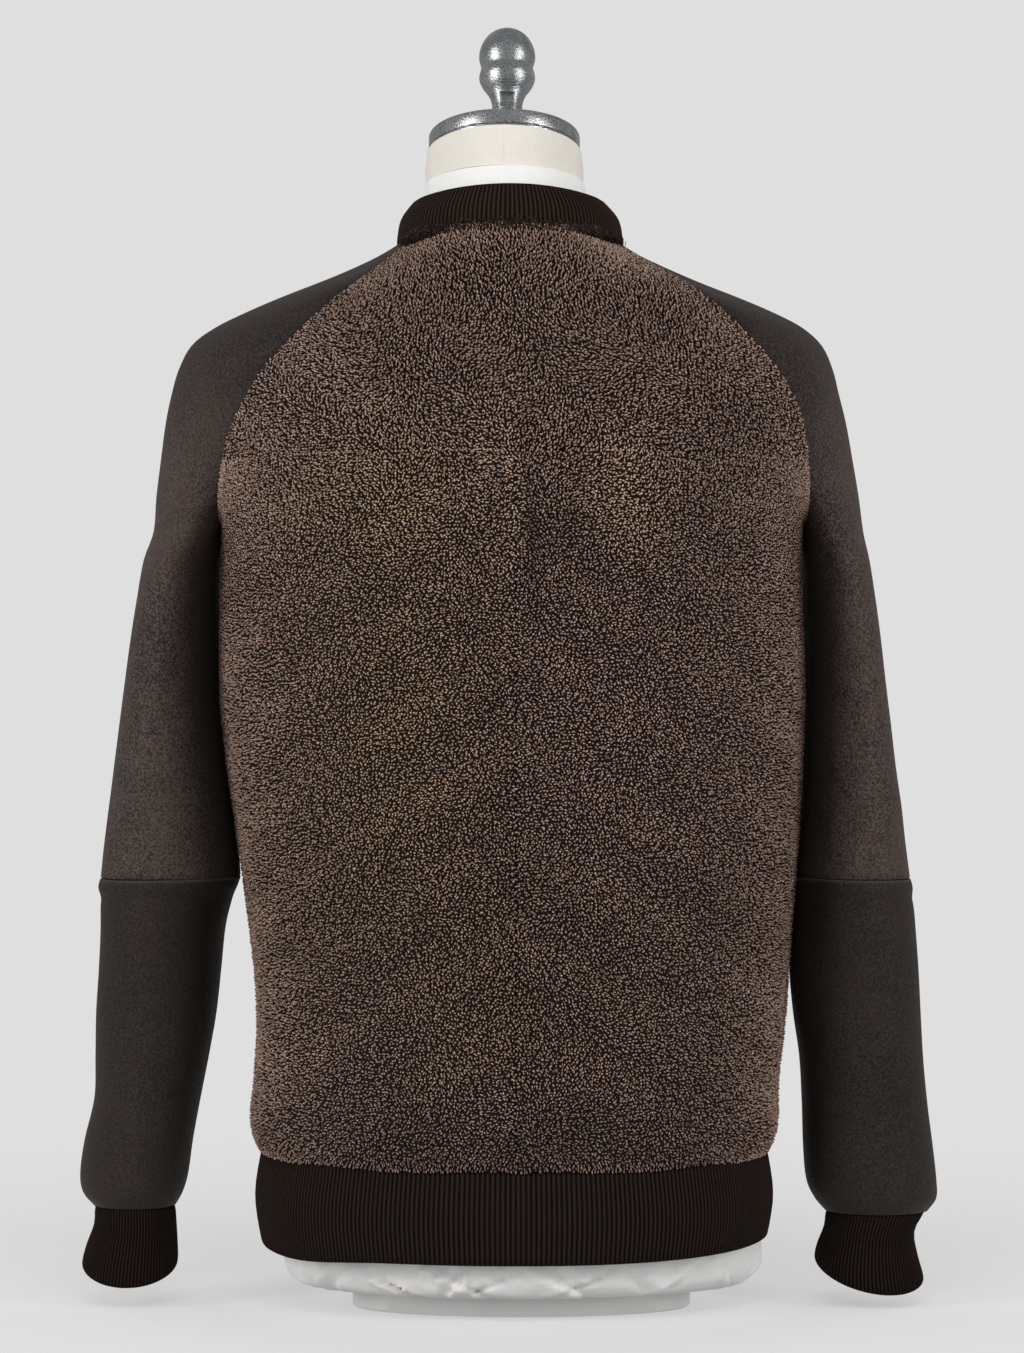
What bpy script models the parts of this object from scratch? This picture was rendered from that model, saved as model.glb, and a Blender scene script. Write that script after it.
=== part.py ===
# A shearling bomber jacket standing on a limbless dress form.
# +X is the wearer's right, -Y is the back of the garment, +Z is up, and the floor is z = 0.
# Tables and named sizes are in millimetres. Meshes are written in metres.

import math

import bmesh
import bpy
import numpy as np
from mathutils import Matrix, Vector

MM = 0.001

# Cloth walls
SEAM_GAP = 0.36          # width of the parting between sewn pieces
SKIN = 2.5               # thickness of the shearling's skin
PILE = 6.8               # how far the curls stand above the skin
FLAT_PILE = 0.6          # pile height where the arm presses on it
PILE_FADE = (25.0, 125.0)  # distance from the underarm over which the pile rises to full height
FOLD_GAP = 2.0           # extra share of the parting in the tight fold behind the underarm
LEATHER = 3.0            # thickness of a sleeve wall
RIB_WALL = 3.2           # thickness of the knit under its ribs
RIB_HEIGHT = 0.9         # how far a rib stands out
HEM_RIBS = 160           # one ridge stands for two knitted ribs
COLLAR_RIBS = 72
CUFF_RIBS = 42

# Columns across each piece
BACK_COLUMNS = 8         # on each half of the back
FRONT_COLUMNS = 6
SLEEVE_COLUMNS = 18
RING_COLUMNS = 28        # around the dress form

SIDE_Y = 5.0             # the side seams lie a little in front of the middle
YOKE_ROW = 3             # row of the upper tables that holds the yoke seam

# Zip
ZIP_HALF_OPENING = 7.0   # from the middle of the teeth to each front edge
TAPE_HALF_WIDTH = 17.0
TAPE_DEPTH = 3.7         # from the cloth's outer face down to the tape
TAPE_THICKNESS = 1.0


def table(header, rows):
    """Give each named column of a short table as an array."""
    values = np.array(rows, dtype=float)
    return {name: values[:, index] for index, name in enumerate(header.split())}


# Body below the underarm, from the hem seam up. Widths run from x = 0 to the side seams.
BODY = table(
    "z back_drop front_rise left right back front", [
        (112, 4, 2, 170.0, 176.0, 113.0, 110.0),
        (122, 3, 1, 174.5, 180.5, 117.5, 112.6),
        (134, 2, 1, 176.0, 182.0, 120.0, 113.8),
        (160, 1, 0, 173.5, 182.5, 120.0, 113.0),
        (200, 0, 0, 171.5, 187.0, 120.0, 112.0),
        (242, 0, 0, 174.0, 190.0, 121.5, 112.0),
        (298, 0, 0, 181.0, 194.0, 124.0, 112.5),
        (340, 0, 0, 187.0, 197.0, 126.0, 113.5),
        (382, 0, 0, 193.0, 199.0, 128.0, 115.0),
        (424, 0, 0, 197.0, 200.5, 130.0, 116.5),
        (462, 0, 0, 200.0, 202.0, 132.0, 117.5),
        (500, 0, 0, 203.0, 204.0, 134.0, 118.0),
        (522, 0, 0, 203.0, 204.5, 135.0, 118.0)])
BODY_MIDDLE = 4.0        # x of the centre-back seam and of the zip
BODY_SQUARENESS = 1.15   # above 1 the back and the front are flatter than an ellipse

# Middle lines of back and front from the underarm row up to the neck.
# The angle says how much of a half ellipse each row spans, from its middle to the raglan seam.
MIDDLE = table(
    "x back_y back_z back_angle front_y front_z front_angle squareness", [
        (4.0, -135.0, 542, 90.0, 118.0, 542, 90, 1.15),
        (4.0, -135.5, 551, 80.0, 118.0, 549, 82, 1.15),
        (4.0, -136.0, 570, 74.0, 118.0, 561, 76, 1.15),
        (4.0, -136.0, 593, 70.0, 117.5, 576, 72, 1.12),
        (4.0, -135.0, 610, 66.0, 116.5, 591, 68, 1.10),
        (3.5, -133.0, 627, 63.0, 115.0, 605, 65, 1.08),
        (3.0, -130.0, 644, 60.0, 112.5, 618, 62, 1.06),
        (2.5, -126.0, 661, 58.0, 109.0, 631, 59, 1.04),
        (2.0, -121.0, 678, 56.0, 105.0, 643, 56, 1.02),
        (1.5, -115.0, 695, 55.0, 99.0, 655, 53, 1.00),
        (1.0, -106.0, 713, 55.0, 91.0, 667, 50, 1.00),
        (0.5, -94.0, 730, 55.0, 80.0, 679, 48, 1.00),
        (0.0, -75.0, 745, 55.6, 65.0, 690, 47, 1.00)])

# Raglan seams, same rows. The first row is the point under the arm.
SEAM_BACK = table(
    "left right y z", [
        (201.0, 204.0, SIDE_Y, 542),
        (202.0, 206.0, -28.0, 551),
        (199.5, 205.0, -52.0, 567),
        (194.0, 201.0, -70.0, 588),
        (187.0, 197.5, -82.0, 608),
        (179.0, 192.0, -89.5, 626),
        (169.0, 183.0, -94.5, 643),
        (156.0, 171.5, -97.0, 659),
        (141.0, 156.5, -97.0, 675),
        (124.0, 140.0, -93.5, 691),
        (105.5, 121.0, -85.5, 708),
        (85.5, 95.5, -69.0, 726),
        (66.0, 66.0, -44.6, 741.6)])
SEAM_FRONT = table(
    "left right y z", [
        (201.0, 204.0, SIDE_Y, 542),
        (200.5, 204.0, 36.0, 551),
        (196.0, 201.0, 56.0, 566),
        (189.0, 195.0, 71.0, 585),
        (180.0, 187.0, 81.0, 604),
        (169.0, 177.0, 87.0, 621),
        (156.0, 164.0, 90.0, 637),
        (141.5, 149.0, 91.0, 653),
        (126.0, 132.0, 89.5, 669),
        (109.5, 114.0, 84.0, 685),
        (92.5, 95.0, 75.0, 700),
        (75.5, 76.5, 61.0, 714.5),
        (58.5, 58.5, 42.7, 728.6)])

# Highest line of each sleeve from the level of the underarm over the shoulder to the neck.
# The depths say how far the sleeve bulges behind and in front of its seams.
RIDGE = table(
    "left right y z back_depth front_depth roundness", [
        (250.0, 245.0, 18, 542, 55, 66, 0.00),
        (247.5, 242.5, 17, 566, 30, 40, 0.20),
        (245.0, 240.5, 16, 592, 15, 24, 0.45),
        (242.0, 237.0, 14, 618, 6, 12, 0.70),
        (237.0, 230.0, 11, 638, 2, 5, 0.90),
        (231.0, 224.0, 8, 655, 0, 1, 1.00),
        (221.5, 216.0, 5, 672, 0, 0, 1.00),
        (205.0, 202.0, 3, 684.5, 0, 0, 1.00),
        (183.0, 182.0, 1, 695, 0, 0, 1.00),
        (158.0, 158.0, -1, 705.5, 0, 0, 1.00),
        (131.5, 131.5, -3, 716, 0, 0, 1.00),
        (106.0, 106.0, -4, 727, 0, 0, 1.00),
        (80.0, 80.0, -5, 740, 0, 0, 1.00)])

# Sleeve rings from the elbow seam up, outer and inner edges from x = 0.
UPPER_SLEEVE = table(
    "z left_out left_in right_out right_in back front", [
        (300, 287.0, 192.0, 280.0, 203.5, -52, 58),
        (325, 284.0, 194.8, 276.5, 205.5, -54, 62),
        (353, 280.0, 198.8, 273.0, 207.3, -56, 67),
        (381, 276.5, 202.8, 269.0, 208.6, -58, 71),
        (409, 273.0, 205.8, 266.0, 209.8, -59, 75),
        (437, 269.5, 208.0, 262.5, 210.6, -60, 78),
        (465, 266.0, 209.0, 259.0, 211.0, -60, 80),
        (493, 261.0, 208.5, 255.5, 210.8, -58, 80),
        (521, 256.0, 205.5, 249.5, 208.3, -54, 77)])
LOWER_SLEEVE = table(
    "z left_out left_in right_out right_in back front", [
        (299.6, 287.4, 191.6, 280.4, 203.2, -52.4, 58.4),
        (293, 288.6, 193.0, 281.6, 202.0, -53.0, 59.0),
        (284, 287.2, 196.0, 281.6, 201.0, -51.5, 57.5),
        (264, 287.2, 200.4, 283.2, 200.0, -50, 56),
        (236, 288.0, 203.0, 285.2, 199.6, -48, 54),
        (206, 289.4, 206.0, 286.4, 200.4, -46, 52),
        (176, 290.6, 211.0, 288.4, 203.4, -44, 51),
        (146, 292.4, 216.8, 291.6, 204.6, -42, 50),
        (116, 297.2, 222.2, 295.2, 205.4, -40, 49),
        (92, 300.6, 225.6, 298.0, 207.6, -38, 48),
        (79, 298.6, 229.4, 297.6, 213.4, -35, 45),
        (70, 291.4, 234.4, 291.0, 221.0, -29, 39)])
RIGHT_HAND_DROP = 4.0    # the right sleeve hangs a little lower at its lower edge

CUFF = table(
    "z left_out left_in right_out right_in back front slope", [
        (69.5, 290.0, 235.6, 289.8, 222.2, -28.0, 37.5, 0.00),
        (57.0, 292.0, 234.8, 287.0, 221.0, -28.5, 38.5, 0.12),
        (42.0, 296.0, 234.0, 286.5, 216.5, -29.0, 39.5, 0.30),
        (30.0, 298.5, 233.5, 286.8, 214.0, -28.0, 38.0, 0.42)])

# Stand collar, from its seam up. y runs from the side line at COLLAR_SIDE_Y.
COLLAR_SIDE_Y = -5.0
COLLAR = table(
    "left right back front z_side z_back z_front", [
        (78.5, 78.5, 68.6, 68.4, 740.6, 745.6, 690.8),
        (75.6, 75.4, 63.0, 66.8, 758.0, 763.5, 710.0),
        (69.5, 67.8, 57.5, 64.0, 770.5, 776.5, 725.0)])
COLLAR_LIP = 3.0         # height of the rounded fold above the last row
NECK = {"left": 80.0, "right": 80.0, "back": 70.0, "front": 70.0,
        "z_side": 740.0, "z_back": 745.0, "z_front": 690.0}
COLLAR_HALF_OPENING = 8.0

HEM = table(
    "z back_drop front_rise left right back front", [
        (111.6, 4, 2, 173.0, 179.0, 115.5, 110.5),
        (80.0, 7, 3, 177.6, 183.4, 119.8, 114.3),
        (52.0, 8.5, 6, 174.0, 180.0, 117.0, 111.5)])

# Dress form: widths from x = 0, depths from y = 0, and the rise of each ring toward the back.
FORM = table(
    "z left right back front rise", [
        (16.5, 141, 157, 86, 82, 0),
        (21, 151, 167, 95, 91, 0),
        (32, 157, 173.5, 101, 97, 0),
        (60, 159, 175, 104, 99, 0),
        (110, 157, 171, 103, 98, 0),
        (180, 152, 166, 102, 96, 0),
        (250, 151, 164, 103, 96, 0),
        (330, 157, 167, 107, 99, 0),
        (420, 169, 175, 114, 104, 0),
        (500, 180, 184, 121, 107, 0),
        (560, 184, 187, 124, 108, 0),
        (605, 183, 185, 122, 103, 0),
        (640, 181, 182, 117, 92, 0),
        (662, 180, 180, 112, 82, 0),
        (678, 176, 176, 107, 68, 0),
        (690, 176, 176, 101, 58, 0),
        (701, 156.3, 156.3, 93, 50, 0),
        (712, 129.7, 129.7, 84, 44, 0),
        (723, 103.6, 103.6, 74, 41, 0),
        (738, 70, 68, 62, 43, 0),
        (756, 61, 57, 56, 49, 4),
        (782, 59.5, 52.5, 52, 60, 10)])
NECK_MIDDLE_X = -3.8
NECK_WIDTH = 55.6
NECK_DEPTH = 57.0
NECK_LEAN = 10.0         # degrees, at the neck's foot
CAP_LEAN = 15.0          # degrees, the neck cap looks forward
CAP_RADIUS = 53.0
CAP_HEIGHT = 13.0
CAP_MIDDLE = (-4.0, 7.0, 806.5)   # middle of the cap's underside
FINIAL_X = -2.0
FINIAL = table(
    "radius height", [
        (17.0, 0), (17.5, 2.0), (15.0, 4.5), (12.2, 8), (11.0, 14), (10.6, 20), (11.0, 26),
        (13.2, 32), (17.4, 38), (19.5, 43), (19.6, 46.5), (18.6, 50.5), (18.2, 52.5), (18.8, 55),
        (19.8, 59.5), (19.4, 65), (17.2, 71), (13.2, 76.5), (7.4, 80.3), (2.0, 81.7)])
STEM_RADIUS = 11.0
RECESS = (10.0, 3.0, 10.0, 25.0)  # width, depth into the back of the stem, height, level
BASE_HALF = (118.0, 58.0)
BASE_MIDDLE_X = 8.0
BASE_HEIGHT = 16.2

# The tables' x and y run from the neck's line. This brings the outline's middle over the origin.
CENTRE_SHIFT = (1.3, 9.0)

COLOURS = {
    "shearling": ((0.067, 0.042, 0.034), 0.95, 0.0),
    "leather": ((0.042, 0.036, 0.032), 0.70, 0.0),
    "rib_knit": ((0.017, 0.012, 0.010), 0.90, 0.0),
    "zip_tape": ((0.012, 0.010, 0.009), 0.90, 0.0),
    "zip_metal": ((0.18, 0.16, 0.13), 0.35, 1.0),
    "cap_metal": ((0.46, 0.46, 0.46), 0.35, 1.0),
    "cream_cloth": ((0.80, 0.76, 0.69), 0.80, 0.0),
    "white_cloth": ((0.88, 0.88, 0.87), 0.85, 0.0),
    "base_paint": ((0.55, 0.55, 0.54), 0.50, 0.0),
}


def material(name):
    found = bpy.data.materials.get(name)
    if found:
        return found
    colour, roughness, metallic = COLOURS[name]
    made = bpy.data.materials.new(name)
    made.use_nodes = True
    shader = made.node_tree.nodes["Principled BSDF"]
    shader.inputs["Base Color"].default_value = (*colour, 1.0)
    shader.inputs["Roughness"].default_value = roughness
    shader.inputs["Metallic"].default_value = metallic
    return made


def solid(name, points, faces, material_name, smooth_angle=50.0):
    """Make one closed object from points in millimetres."""
    mesh = bpy.data.meshes.new(name)
    work = bmesh.new()
    corners = [work.verts.new(Vector(point) * MM) for point in points]
    for face in faces:
        ring = list(dict.fromkeys(face))
        if len(ring) > 2:
            work.faces.new([corners[index] for index in ring])
    bmesh.ops.delete(work, geom=[v for v in work.verts if not v.link_faces], context="VERTS")
    bmesh.ops.triangulate(work, faces=work.faces)
    bmesh.ops.recalc_face_normals(work, faces=work.faces)
    work.to_mesh(mesh)
    work.free()
    mesh.shade_smooth()
    mesh.set_sharp_from_angle(angle=math.radians(smooth_angle))
    mesh.materials.append(material(material_name))
    made = bpy.data.objects.new(name, mesh)
    bpy.context.collection.objects.link(made)
    return made


def unit(vectors):
    vectors = np.asarray(vectors, dtype=float)
    return vectors / np.maximum(np.linalg.norm(vectors, axis=-1, keepdims=True), 1e-9)


def smoothstep(start, end, value):
    share = np.clip((value - start) / (end - start), 0.0, 1.0)
    return share * share * (3.0 - 2.0 * share)


def wall(name, outer, inner, faces, material_name):
    """Close a cloth wall: outer faces, the same faces inside, and a rim along every open edge."""
    count = len(outer)
    rims = {}
    for face in faces:
        ring = list(dict.fromkeys(face))
        for start, end in zip(ring, ring[1:] + ring[:1]):
            if (end, start) in rims:
                del rims[(end, start)]
            else:
                rims[(start, end)] = True
    inside = [tuple(index + count for index in reversed(face)) for face in faces]
    edges = [(end, start, start + count, end + count) for start, end in rims]
    return solid(name, np.concatenate([outer, inner]), list(faces) + inside + edges, material_name)


# Rows of the body's surface

def arc(middle, edge, angle, squareness, share):
    """Point on a row, from its middle (share 0) to its edge (share 1), along part of a half ellipse."""
    full = math.radians(angle)
    part = full * share
    across = math.sin(part) / math.sin(full)
    depth = ((1.0 - math.cos(part)) / (1.0 - math.cos(full))) ** squareness
    return np.array([
        middle[0] + (edge[0] - middle[0]) * across,
        middle[1] + (edge[1] - middle[1]) * depth,
        middle[2] + (edge[2] - middle[2]) * depth])


def neck_point(row, side, angle):
    """Point on a neck ring. The angle is 0 at the centre back and 180 degrees at the centre front."""
    turn = math.radians(angle)
    width = row["left"] if side < 0 else row["right"]
    reach = row["back"] if angle <= 90.0 else row["front"]
    if angle <= 90.0:
        height = (row["z_back"] - row["z_side"]) * math.cos(turn) ** 2
    else:
        height = (row["z_front"] - row["z_side"]) * ((angle - 90.0) / 90.0) ** 2
    return np.array([
        side * width * math.sin(turn),
        COLLAR_SIDE_Y - reach * math.cos(turn),
        row["z_side"] + height])


def side_name(side):
    return "left" if side < 0 else "right"


def low_row(rows, index, side, share, face):
    """Point on a row below the underarm. Face is 'back' or 'front'."""
    sign = -1.0 if face == "back" else 1.0
    shift = -rows["back_drop"][index] if face == "back" else rows["front_rise"][index]
    middle = (BODY_MIDDLE, sign * rows[face][index], rows["z"][index] + shift)
    edge = (side * rows[side_name(side)][index], SIDE_Y, rows["z"][index])
    return arc(middle, edge, 90.0, BODY_SQUARENESS, share)


def high_row(index, side, share, face):
    """Point on a row between the raglan seams."""
    seam = SEAM_BACK if face == "back" else SEAM_FRONT
    angle = MIDDLE[face + "_angle"][index]
    if index == len(MIDDLE["x"]) - 1:
        return neck_point(NECK, side, angle * share if face == "back" else 180.0 - angle * share)
    middle = (MIDDLE["x"][index], MIDDLE[face + "_y"][index], MIDDLE[face + "_z"][index])
    edge = (side * seam[side_name(side)][index], seam["y"][index], seam["z"][index])
    return arc(middle, edge, angle, MIDDLE["squareness"][index], share)


def zip_share(index, side, upper, rows=BODY):
    """Share of a front row at which the zip's edge lies."""
    if upper:
        angle = MIDDLE["front_angle"][index]
        reach = SEAM_FRONT[side_name(side)][index] - side * MIDDLE["x"][index]
    else:
        angle = 90.0
        reach = rows[side_name(side)][index] - side * BODY_MIDDLE
    full = math.radians(angle)
    return math.asin(ZIP_HALF_OPENING / reach * math.sin(full)) / full


def grid_normals(points, outward_from):
    """Unit normals of a grid of points, turned away from the given middle points."""
    along = np.gradient(points, axis=0)
    across = np.gradient(points, axis=1)
    normals = unit(np.cross(along, across))
    sign = np.sign(np.sum(normals * (points - outward_from)))
    return normals * sign


LOW = len(BODY["z"])
HIGH = len(MIDDLE["x"])


def body_surface(face):
    """Grid of skin points over the whole back, or over one front from zip edge to side."""
    grids = {}
    for side in (-1.0, 1.0):
        rows = []
        for index in range(LOW + HIGH):
            upper = index >= LOW
            place = index - LOW if upper else index
            start = zip_share(place, side, upper) if face == "front" else 0.0
            columns = FRONT_COLUMNS if face == "front" else BACK_COLUMNS
            shares = np.linspace(start, 1.0, columns + 1)
            if upper:
                rows.append([high_row(place, side, share, face) for share in shares])
            else:
                rows.append([low_row(BODY, place, side, share, face) for share in shares])
        grids[side] = np.array(rows)
    return grids


def sleeve_surface(side):
    """Grid of skin points on an upper sleeve. Column 0 is the inner or back seam line."""
    name = side_name(side)
    turns = np.linspace(0.0, 1.0, SLEEVE_COLUMNS + 1)
    rows = [sleeve_ring(UPPER_SLEEVE, index, side, turns) for index in range(len(UPPER_SLEEVE["z"]))]
    for index in range(HIGH):
        if index == HIGH - 1:
            first = MIDDLE["back_angle"][index]
            last = 180.0 - MIDDLE["front_angle"][index]
            rows.append([neck_point(NECK, side, first + (last - first) * turn) for turn in turns])
            continue
        back = np.array([side * SEAM_BACK[name][index], SEAM_BACK["y"][index], SEAM_BACK["z"][index]])
        front = np.array([side * SEAM_FRONT[name][index], SEAM_FRONT["y"][index], SEAM_FRONT["z"][index]])
        top = np.array([side * RIDGE[name][index], RIDGE["y"][index], RIDGE["z"][index]])
        blend = (1.0 - np.cos(np.pi * turns)) / 2.0
        plump = RIDGE["roundness"][index]
        rise = (1.0 - plump) * np.sin(np.pi * turns) ** 2 + plump * np.sin(np.pi * turns)
        swing = np.sin(2.0 * np.pi * turns)
        depth = np.where(turns < 0.5, RIDGE["back_depth"][index], RIDGE["front_depth"][index])
        base = back + (front - back) * blend[:, None]
        row = base + (top - (back + front) / 2.0) * rise[:, None]
        row[:, 1] -= depth * swing
        rows.append(row)
    return np.array([np.asarray(row) for row in rows])


def sleeve_ring(rows, index, side, turns, drop=0.0):
    """Closed ring: turn 0 is the inner side, 0.25 the back, 0.5 the outer side, 0.75 the front."""
    name = side_name(side)
    outer = rows[name + "_out"][index]
    inner = rows[name + "_in"][index]
    middle_y = (rows["back"][index] + rows["front"][index]) / 2.0
    half_depth = (rows["front"][index] - rows["back"][index]) / 2.0
    x = side * ((outer + inner) / 2.0 - (outer - inner) / 2.0 * np.cos(2.0 * np.pi * turns))
    y = middle_y - half_depth * np.sin(2.0 * np.pi * turns)
    z = np.full_like(turns, rows["z"][index] - drop)
    return np.stack([x, y, z], axis=1)


def ring_normals(points, closed_rows):
    """Normals of a sleeve grid whose first rows are closed rings."""
    along = np.gradient(points, axis=0)
    across = np.gradient(points, axis=1)
    for row in range(closed_rows):
        edge = points[row, 1] - points[row, -2]
        across[row, 0] = edge / 2.0
        across[row, -1] = edge / 2.0
        mixed = (along[row, 0] + along[row, -1]) / 2.0
        along[row, 0] = mixed
        along[row, -1] = mixed
    normals = unit(np.cross(along, across))
    middle = points[0].mean(axis=0)
    sign = np.sign(np.sum(normals[0] * (points[0] - middle)))
    return normals * sign


def inset(outer, inner, edge, distance=SEAM_GAP / 2.0):
    """Draw a grid's border row or column back from its seam, toward the next row or column."""
    for points in (outer, inner):
        if edge == "first_row":
            points[0] += unit(points[1] - points[0]) * distance
        elif edge == "last_row":
            points[-1] += unit(points[-2] - points[-1]) * distance
        elif edge == "first_column":
            points[:, 0] += unit(points[:, 1] - points[:, 0]) * distance
        else:
            points[:, -1] += unit(points[:, -2] - points[:, -1]) * distance


def grid_faces(rows, columns):
    return [(r * columns + c, r * columns + c + 1, (r + 1) * columns + c + 1, (r + 1) * columns + c)
            for r in range(rows - 1) for c in range(columns - 1)]


def pile_height(points, underarm):
    distance = np.linalg.norm(points - underarm, axis=-1)
    return FLAT_PILE + (PILE - FLAT_PILE) * smoothstep(*PILE_FADE, distance)


def seam_frame(body, body_normals, sleeve, sleeve_normals, side, other):
    """Shared normals along a raglan seam, and the direction across it toward the body."""
    normals = unit(body_normals + sleeve_normals)
    normals[-1] = unit(normals[-1] + 2.0 * normals[-2])
    for _ in range(2):
        normals[4:-1] = unit(normals[3:-2] + 2.0 * normals[4:-1] + normals[5:])
    normals[0] = (0.0, 0.0, -1.0)
    tangents = np.gradient(body, axis=0)
    tangents[0] = body[1] - other[1]
    across = unit(np.cross(tangents, normals))
    across *= np.where(across[:, :1] * side > 0, -1.0, 1.0)
    rows = np.arange(len(across))[:, None]
    across *= 1.0 + FOLD_GAP * np.exp(-((rows - 2.0) / 1.2) ** 2)
    return normals, across


def make_body_and_sleeves():
    back = body_surface("back")
    front = body_surface("front")
    whole_back = np.concatenate([back[-1.0][:, ::-1], back[1.0][:, 1:]], axis=1)
    axis = np.array([BODY_MIDDLE, 0.0, 400.0])
    back_normals = grid_normals(whole_back, axis)
    normals = {
        ("back", -1.0): back_normals[:, :BACK_COLUMNS + 1][:, ::-1].copy(),
        ("back", 1.0): back_normals[:, BACK_COLUMNS:].copy(),
        ("front", -1.0): grid_normals(front[-1.0], axis),
        ("front", 1.0): grid_normals(front[1.0], axis)}
    for grid in normals.values():
        grid[0, :, 2] = 0.0
        grid[0] = unit(grid[0])
    across_seams = {}
    for side in (-1.0, 1.0):
        name = side_name(side)
        sleeve = sleeve_surface(side)
        closed = len(UPPER_SLEEVE["z"]) + 1
        sleeve_normals = ring_normals(sleeve, closed)
        first = closed - 1
        back_seam = seam_frame(
            back[side][LOW:, -1], normals[("back", side)][LOW:, -1],
            sleeve[first:, 0], sleeve_normals[first:, 0], side, front[side][LOW:, -1])
        front_seam = seam_frame(
            front[side][LOW:, -1], normals[("front", side)][LOW:, -1],
            sleeve[first:, -1], sleeve_normals[first:, -1], side, back[side][LOW:, -1])
        sleeve_normals[first:, 0] = back_seam[0]
        sleeve_normals[first:, -1] = front_seam[0]
        normals[("back", side)][LOW:, -1] = back_seam[0]
        normals[("front", side)][LOW:, -1] = front_seam[0]
        shared = unit(normals[("back", side)][:LOW, -1] + normals[("front", side)][:LOW, -1])
        normals[("back", side)][:LOW, -1] = shared
        normals[("front", side)][:LOW, -1] = shared
        underarm = back[side][LOW, -1]
        make_upper_sleeve(name, sleeve, sleeve_normals, closed, back_seam[1], front_seam[1])
        make_panel("front_" + name, front[side], normals[("front", side)], underarm, front_seam[1],
                   LOW + HIGH, ("first_column",))
        make_panel("back_" + name, back[side], normals[("back", side)], underarm, back_seam[1],
                   LOW + YOKE_ROW + 1, ("first_column", "last_row"))
        across_seams[side] = back_seam[1]
    make_yoke(back, normals, across_seams)


def make_panel(name, points, normals, underarm, across, end, seams):
    """One half of the back below the yoke, or one front, up to the given row."""
    outer = points + normals * pile_height(points, underarm)[..., None]
    inner = points - normals * SKIN
    for grid in (outer, inner):
        grid[LOW:, -1] += across * SEAM_GAP / 2.0
        grid[:LOW + 1, -1] += unit(points[:LOW + 1, -2] - points[:LOW + 1, -1]) * SEAM_GAP / 2.0
    outer = outer[:end]
    inner = inner[:end]
    for edge in seams:
        inset(outer, inner, edge)
    rows, columns = outer.shape[:2]
    wall(name, outer.reshape(-1, 3), inner.reshape(-1, 3), grid_faces(rows, columns), "shearling")


def make_yoke(back, normals, across_seams):
    """Upper back, from one raglan seam to the other."""
    first = LOW + YOKE_ROW
    parts = {}
    for side in (-1.0, 1.0):
        points = back[side][first:]
        turned = normals[("back", side)][first:]
        outer = points + turned * pile_height(points, back[side][LOW, -1])[..., None]
        inner = points - turned * SKIN
        across = across_seams[side][YOKE_ROW:]
        for grid in (outer, inner):
            grid[:, -1] += across * SEAM_GAP / 2.0
        parts[side] = (outer, inner)
    outer = np.concatenate([parts[-1.0][0][:, ::-1], parts[1.0][0][:, 1:]], axis=1)
    inner = np.concatenate([parts[-1.0][1][:, ::-1], parts[1.0][1][:, 1:]], axis=1)
    inset(outer, inner, "first_row")
    rows, columns = outer.shape[:2]
    wall("back_yoke", outer.reshape(-1, 3), inner.reshape(-1, 3), grid_faces(rows, columns), "shearling")


def make_upper_sleeve(name, points, normals, closed, back_across, front_across):
    outer = points.copy()
    inner = points - normals * LEATHER
    first = closed - 1
    for grid in (outer, inner):
        grid[first:, 0] -= back_across * SEAM_GAP / 2.0
        grid[first:, -1] -= front_across * SEAM_GAP / 2.0
        grid[first, -1] = grid[first, 0]
    inset(outer, inner, "first_row")
    rows, columns = outer.shape[:2]

    def corner(row, column):
        if row < closed and column == columns - 1:
            return row * columns
        return row * columns + column

    faces = [(corner(r, c), corner(r, c + 1), corner(r + 1, c + 1), corner(r + 1, c))
             for r in range(rows - 1) for c in range(columns - 1)]
    wall("sleeve_" + name + "_upper", outer.reshape(-1, 3), inner.reshape(-1, 3), faces, "leather")


def make_lower_sleeve(side):
    turns = np.linspace(0.0, 1.0, SLEEVE_COLUMNS + 1)
    levels = LOWER_SLEEVE["z"]
    drop = RIGHT_HAND_DROP if side > 0 else 0.0
    shares = smoothstep(levels[0], levels[-1], levels)
    rings = [sleeve_ring(LOWER_SLEEVE, index, side, turns, drop * shares[index])
             for index in range(len(levels))]
    points = np.array(rings)
    normals = ring_normals(points, len(levels))
    outer = points.copy()
    inner = points - normals * LEATHER
    inner[-1, :, 2] = outer[-1, :, 2]
    inner[0, :, 2] = outer[0, :, 2]
    columns = SLEEVE_COLUMNS + 1

    def corner(row, column):
        return row * columns + column % SLEEVE_COLUMNS

    faces = [(corner(r, c), corner(r, c + 1), corner(r + 1, c + 1), corner(r + 1, c))
             for r in range(len(levels) - 1) for c in range(SLEEVE_COLUMNS)]
    name = "sleeve_" + side_name(side) + "_lower"
    wall(name, outer.reshape(-1, 3), inner.reshape(-1, 3), faces, "leather")


# Ribbed bands

def bridge(first, second, first_shares, second_shares):
    """Triangles between two lines of points, each point with its share of the way along."""
    faces = []
    i = 0
    j = 0
    while i < len(first) - 1 or j < len(second) - 1:
        step_first = j == len(second) - 1
        if i < len(first) - 1 and j < len(second) - 1:
            step_first = first_shares[i + 1] <= second_shares[j + 1]
        if step_first:
            faces.append((first[i], first[i + 1], second[j]))
            i += 1
        else:
            faces.append((first[i], second[j + 1], second[j]))
            j += 1
    return faces


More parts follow.
